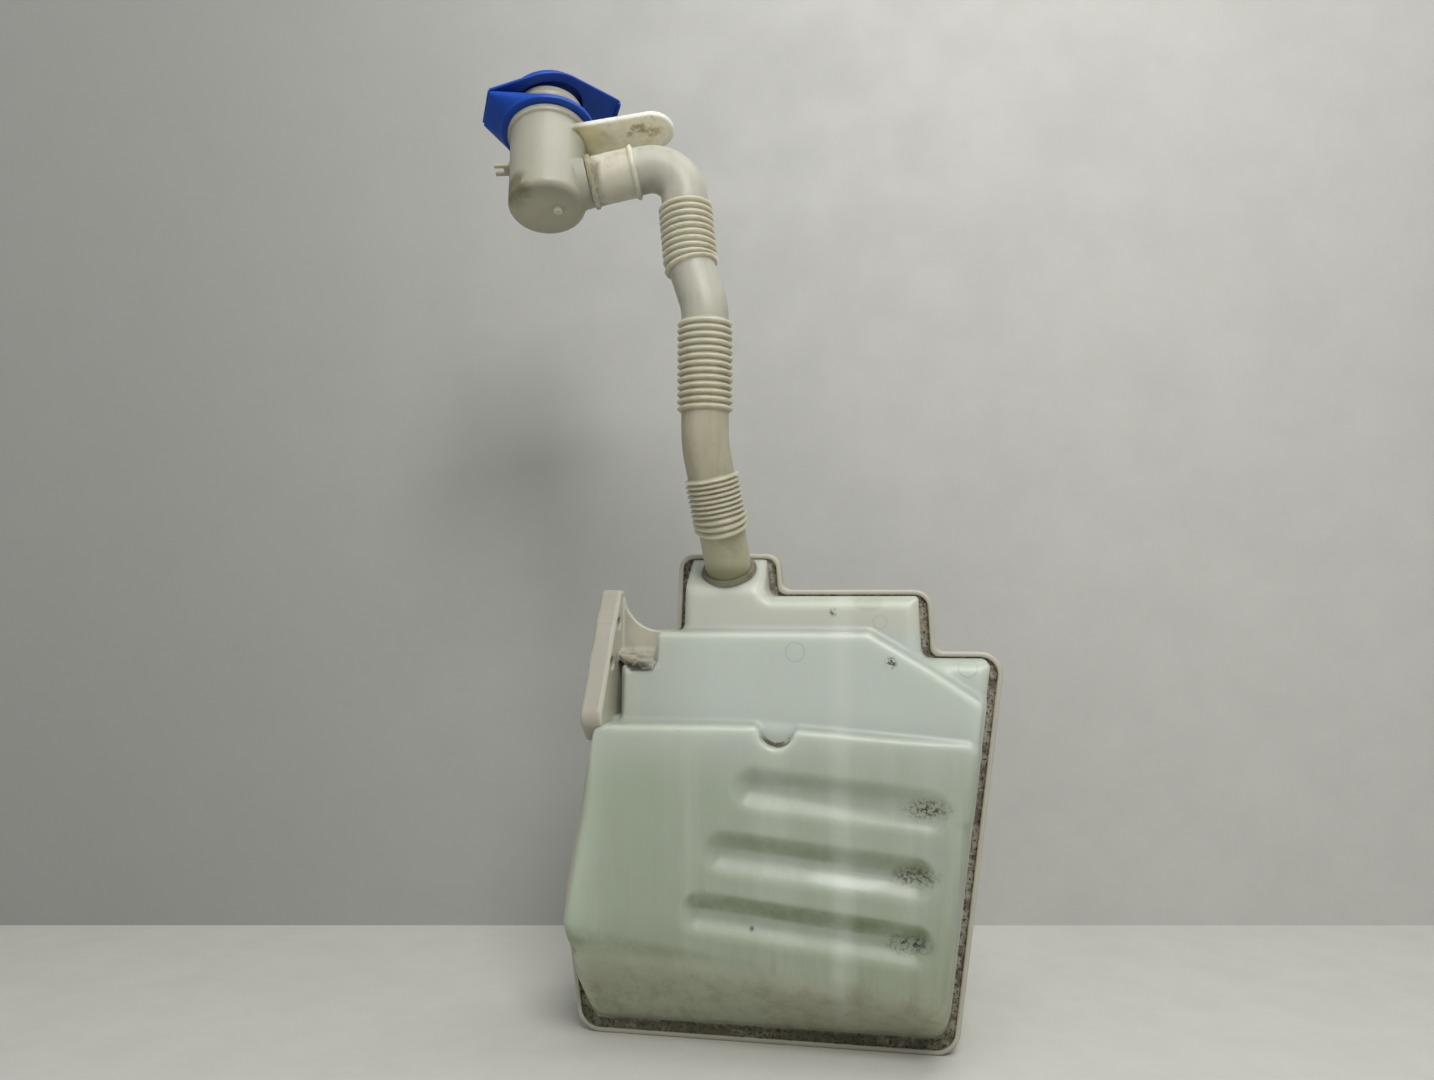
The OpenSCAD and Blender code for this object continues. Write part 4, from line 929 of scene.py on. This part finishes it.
def film_hinge(material):
    """The thin web that joins the collar's flap to the lid."""
    points, faces = [], []
    a = CAP_AT + CAP @ np.array([-41.0, 0, 13.0])
    b = FOLD_AT + FOLD @ np.array([1.0, 0, 0.6])
    outwards = CAP @ np.array([-1.0, 0, 0.1])
    across = CAP @ np.array([0, 1.0, 0])
    for i in range(WEB_ROWS):
        t = i / (WEB_ROWS - 1)
        middle = a + (b - a) * t + outwards * WEB_BULGE * math.sin(math.pi * t)
        for side in (-1, 1):
            for skin_side in (0, 1):
                points.append(middle + across * side * (FOLD_HALF - 0.3) + outwards * WEB_T * skin_side)
    for i in range(WEB_ROWS - 1):
        p, q = 4 * i, 4 * i + 4
        faces += [[p, p + 2, q + 2, q], [p + 1, q + 1, q + 3, p + 3],
                  [p, q, q + 1, p + 1], [p + 2, p + 3, q + 3, q + 2]]
    e = 4 * (WEB_ROWS - 1)
    faces += [[0, 1, 3, 2], [e, e + 2, e + 3, e + 1]]
    mesh = bpy.data.meshes.new("film_hinge")
    mesh.from_pydata((np.array(points) * MM).tolist(), [], faces)
    mesh.materials.append(material)
    obj = bpy.data.objects.new("film_hinge", mesh)
    bpy.context.scene.collection.objects.link(obj)
    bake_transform(obj)


def rubber_finish(name, colour):
    f = Finish(name, colour, 0.6, grain=500.0, relief=0.0003)
    f.lay(f.times(f.grime(200.0, 0.55, 0.1), 0.5), [c * 0.4 for c in colour], 0.8)
    return f.done()


# ---- stage, light and camera, in metres --------------------------------------------------------

EYE = Vector((93.49, -718.68, 288.21)) * MM
AHEAD, RIGHT = Vector((-0.1736, 0.9848, 0.0)), Vector((0.9848, 0.1736, 0.0))
SIGHT = Vector((-0.1734, 0.9833, 0.0555))
SENSOR, FOCUS, PICTURE_W = 36.0, 1080, 1434
FLOOR_HALF, BACKDROP_AWAY, BACKDROP_HALF, BACKDROP_H = 4, 0.976, 3, 3
AMBIENT, AMBIENT_STRENGTH = (0.9, 0.93, 0.95, 1), 0.27


def plane(name, corners, colour, rough, dim=0.0):
    """A painted sheet. One with painted shade, darker towards its left end, is clear from behind."""
    mesh = bpy.data.meshes.new(name)
    mesh.from_pydata(corners, [], [[0, 1, 2, 3]])
    f = Finish(name + "_paint", colour, rough, grain=300.0)
    f.lay(f.times(f.grime(3.0, 0.5, 0.3), 0.25), [c * 0.9 for c in colour])
    if dim:
        # painted shade: darker towards the left end
        f.lay(f.ramp(f.where()[0], 0.45, -0.65, dim), [c * 0.5 for c in colour])
        behind = add(f.tree, "ShaderNodeNewGeometry").outputs["Backfacing"]
        clear = add(f.tree, "ShaderNodeBsdfTransparent").outputs[0]
        seen = add(f.tree, "ShaderNodeMixShader", {0: behind, 1: f.shader.outputs[0], 2: clear}).outputs[0]
        f.tree.links.new(seen, f.tree.nodes["Material Output"].inputs["Surface"])
    mesh.materials.append(f.done())
    obj = bpy.data.objects.new(name, mesh)
    bpy.context.scene.collection.objects.link(obj)


def lamp(name, at, to, size, watts, colour=(1, 1, 1)):
    light = bpy.data.lights.new(name, "AREA")
    light.shape, light.size, light.size_y = "RECTANGLE", size[0], size[1]
    light.energy, light.color = watts, colour
    obj = bpy.data.objects.new(name, light)
    obj.location = at
    obj.rotation_euler = (Vector(to) - Vector(at)).to_track_quat("-Z", "Y").to_euler()
    bpy.context.scene.collection.objects.link(obj)


def stage():
    reach = FLOOR_HALF
    plane("floor", [(-reach, -reach, 0), (reach, -reach, 0), (reach, reach, 0), (-reach, reach, 0)],
          (0.62, 0.615, 0.57), 0.45)
    middle = EYE + AHEAD * BACKDROP_AWAY
    middle.z = 0
    left, right, rise = middle - RIGHT * BACKDROP_HALF, middle + RIGHT * BACKDROP_HALF, Vector((0, 0, BACKDROP_H))
    plane("backdrop", [tuple(v) for v in (left, right, right + rise, left + rise)], (0.53, 0.525, 0.50), 0.6, dim=0.8)

    lamp("key", (0.42, -1.15, 1.4), (0, 0, 0.35), (0.6, 0.6), 19, (1, 0.99, 0.96))
    lamp("fill", (-1.2, -1.2, 0.9), (0, 0, 0.25), (1.4, 1.4), 2.5, (0.96, 0.98, 1))
    lamp("top", (0.3, -0.25, 1.7), (0, 0, 0.2), (1.6, 0.5), 8)
    world = bpy.data.worlds.new("studio")
    world.use_nodes = True
    world.node_tree.nodes["Background"].inputs["Color"].default_value = AMBIENT
    world.node_tree.nodes["Background"].inputs["Strength"].default_value = AMBIENT_STRENGTH
    bpy.context.scene.world = world

    camera = bpy.data.cameras.new("camera")
    camera.sensor_width, camera.lens = SENSOR, SENSOR * FOCUS / PICTURE_W
    camera.clip_start = 0.01
    obj = bpy.data.objects.new("camera", camera)
    sight = SIGHT.normalized()
    up = RIGHT.cross(sight).normalized()
    obj.matrix_world = Matrix(((RIGHT.x, up.x, -sight.x, EYE.x), (RIGHT.y, up.y, -sight.y, EYE.y),
                               (RIGHT.z, up.z, -sight.z, EYE.z), (0, 0, 0, 1)))
    bpy.context.scene.collection.objects.link(obj)
    bpy.context.scene.camera = obj
    bpy.context.scene.view_settings.view_transform = "Standard"


def main():
    stage()
    tank = tank_finish()
    coarse = 1.5
    fine = 0.8
    finest = 0.6
    flange = flange_finish()
    moulded("tank_front", front_field, (-132, -64, 5), (150, 1.5, 325), coarse, tank, node="front_shell", slot="tank")
    moulded("tank_rear", rear_field, (-132, -1.5, -3), (150, 88, 325), coarse * 1.2, tank, node="rear_shell",
            slot="tank")
    weld_flange("flange_front", 1, flange)
    weld_flange("flange_rear", -1, flange)
    moulded("bracket", bracket_field, (-113, -66, 194), (-66, 1, 300), fine, bracket_finish(), slot="tank")
    filler_pipe(pipe_finish())
    moulded("filler_head_cup", head_field, (-38, -32, -8), (88, 32, 88), fine, head_finish(), node="filler_head",
            slot="head", place=(HEAD, HEAD_AT))
    blue = cap_finish()
    moulded("collar", collar_field, (-44, -34, -2), (34, 34, 16), finest, blue, node="cap_collar", slot="cap",
            place=(CAP, CAP_AT))
    moulded("lid_plate", lid_field, (-2, -34, -4), (96, 34, 13), finest, blue, body="lid", node="cap_lid", slot="cap",
            place=(FOLD, FOLD_AT))
    film_hinge(blue)
    olive = rubber_finish("seal_olive", (0.16, 0.155, 0.10))
    black = rubber_finish("rubber_black", (0.03, 0.03, 0.028))
    for node, finish in (("neck_seal", olive), ("head_seal", black), ("pump_grommet", black)):
        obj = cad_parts[node]
        obj.data.materials.clear()
        obj.data.materials.append(finish)


main()
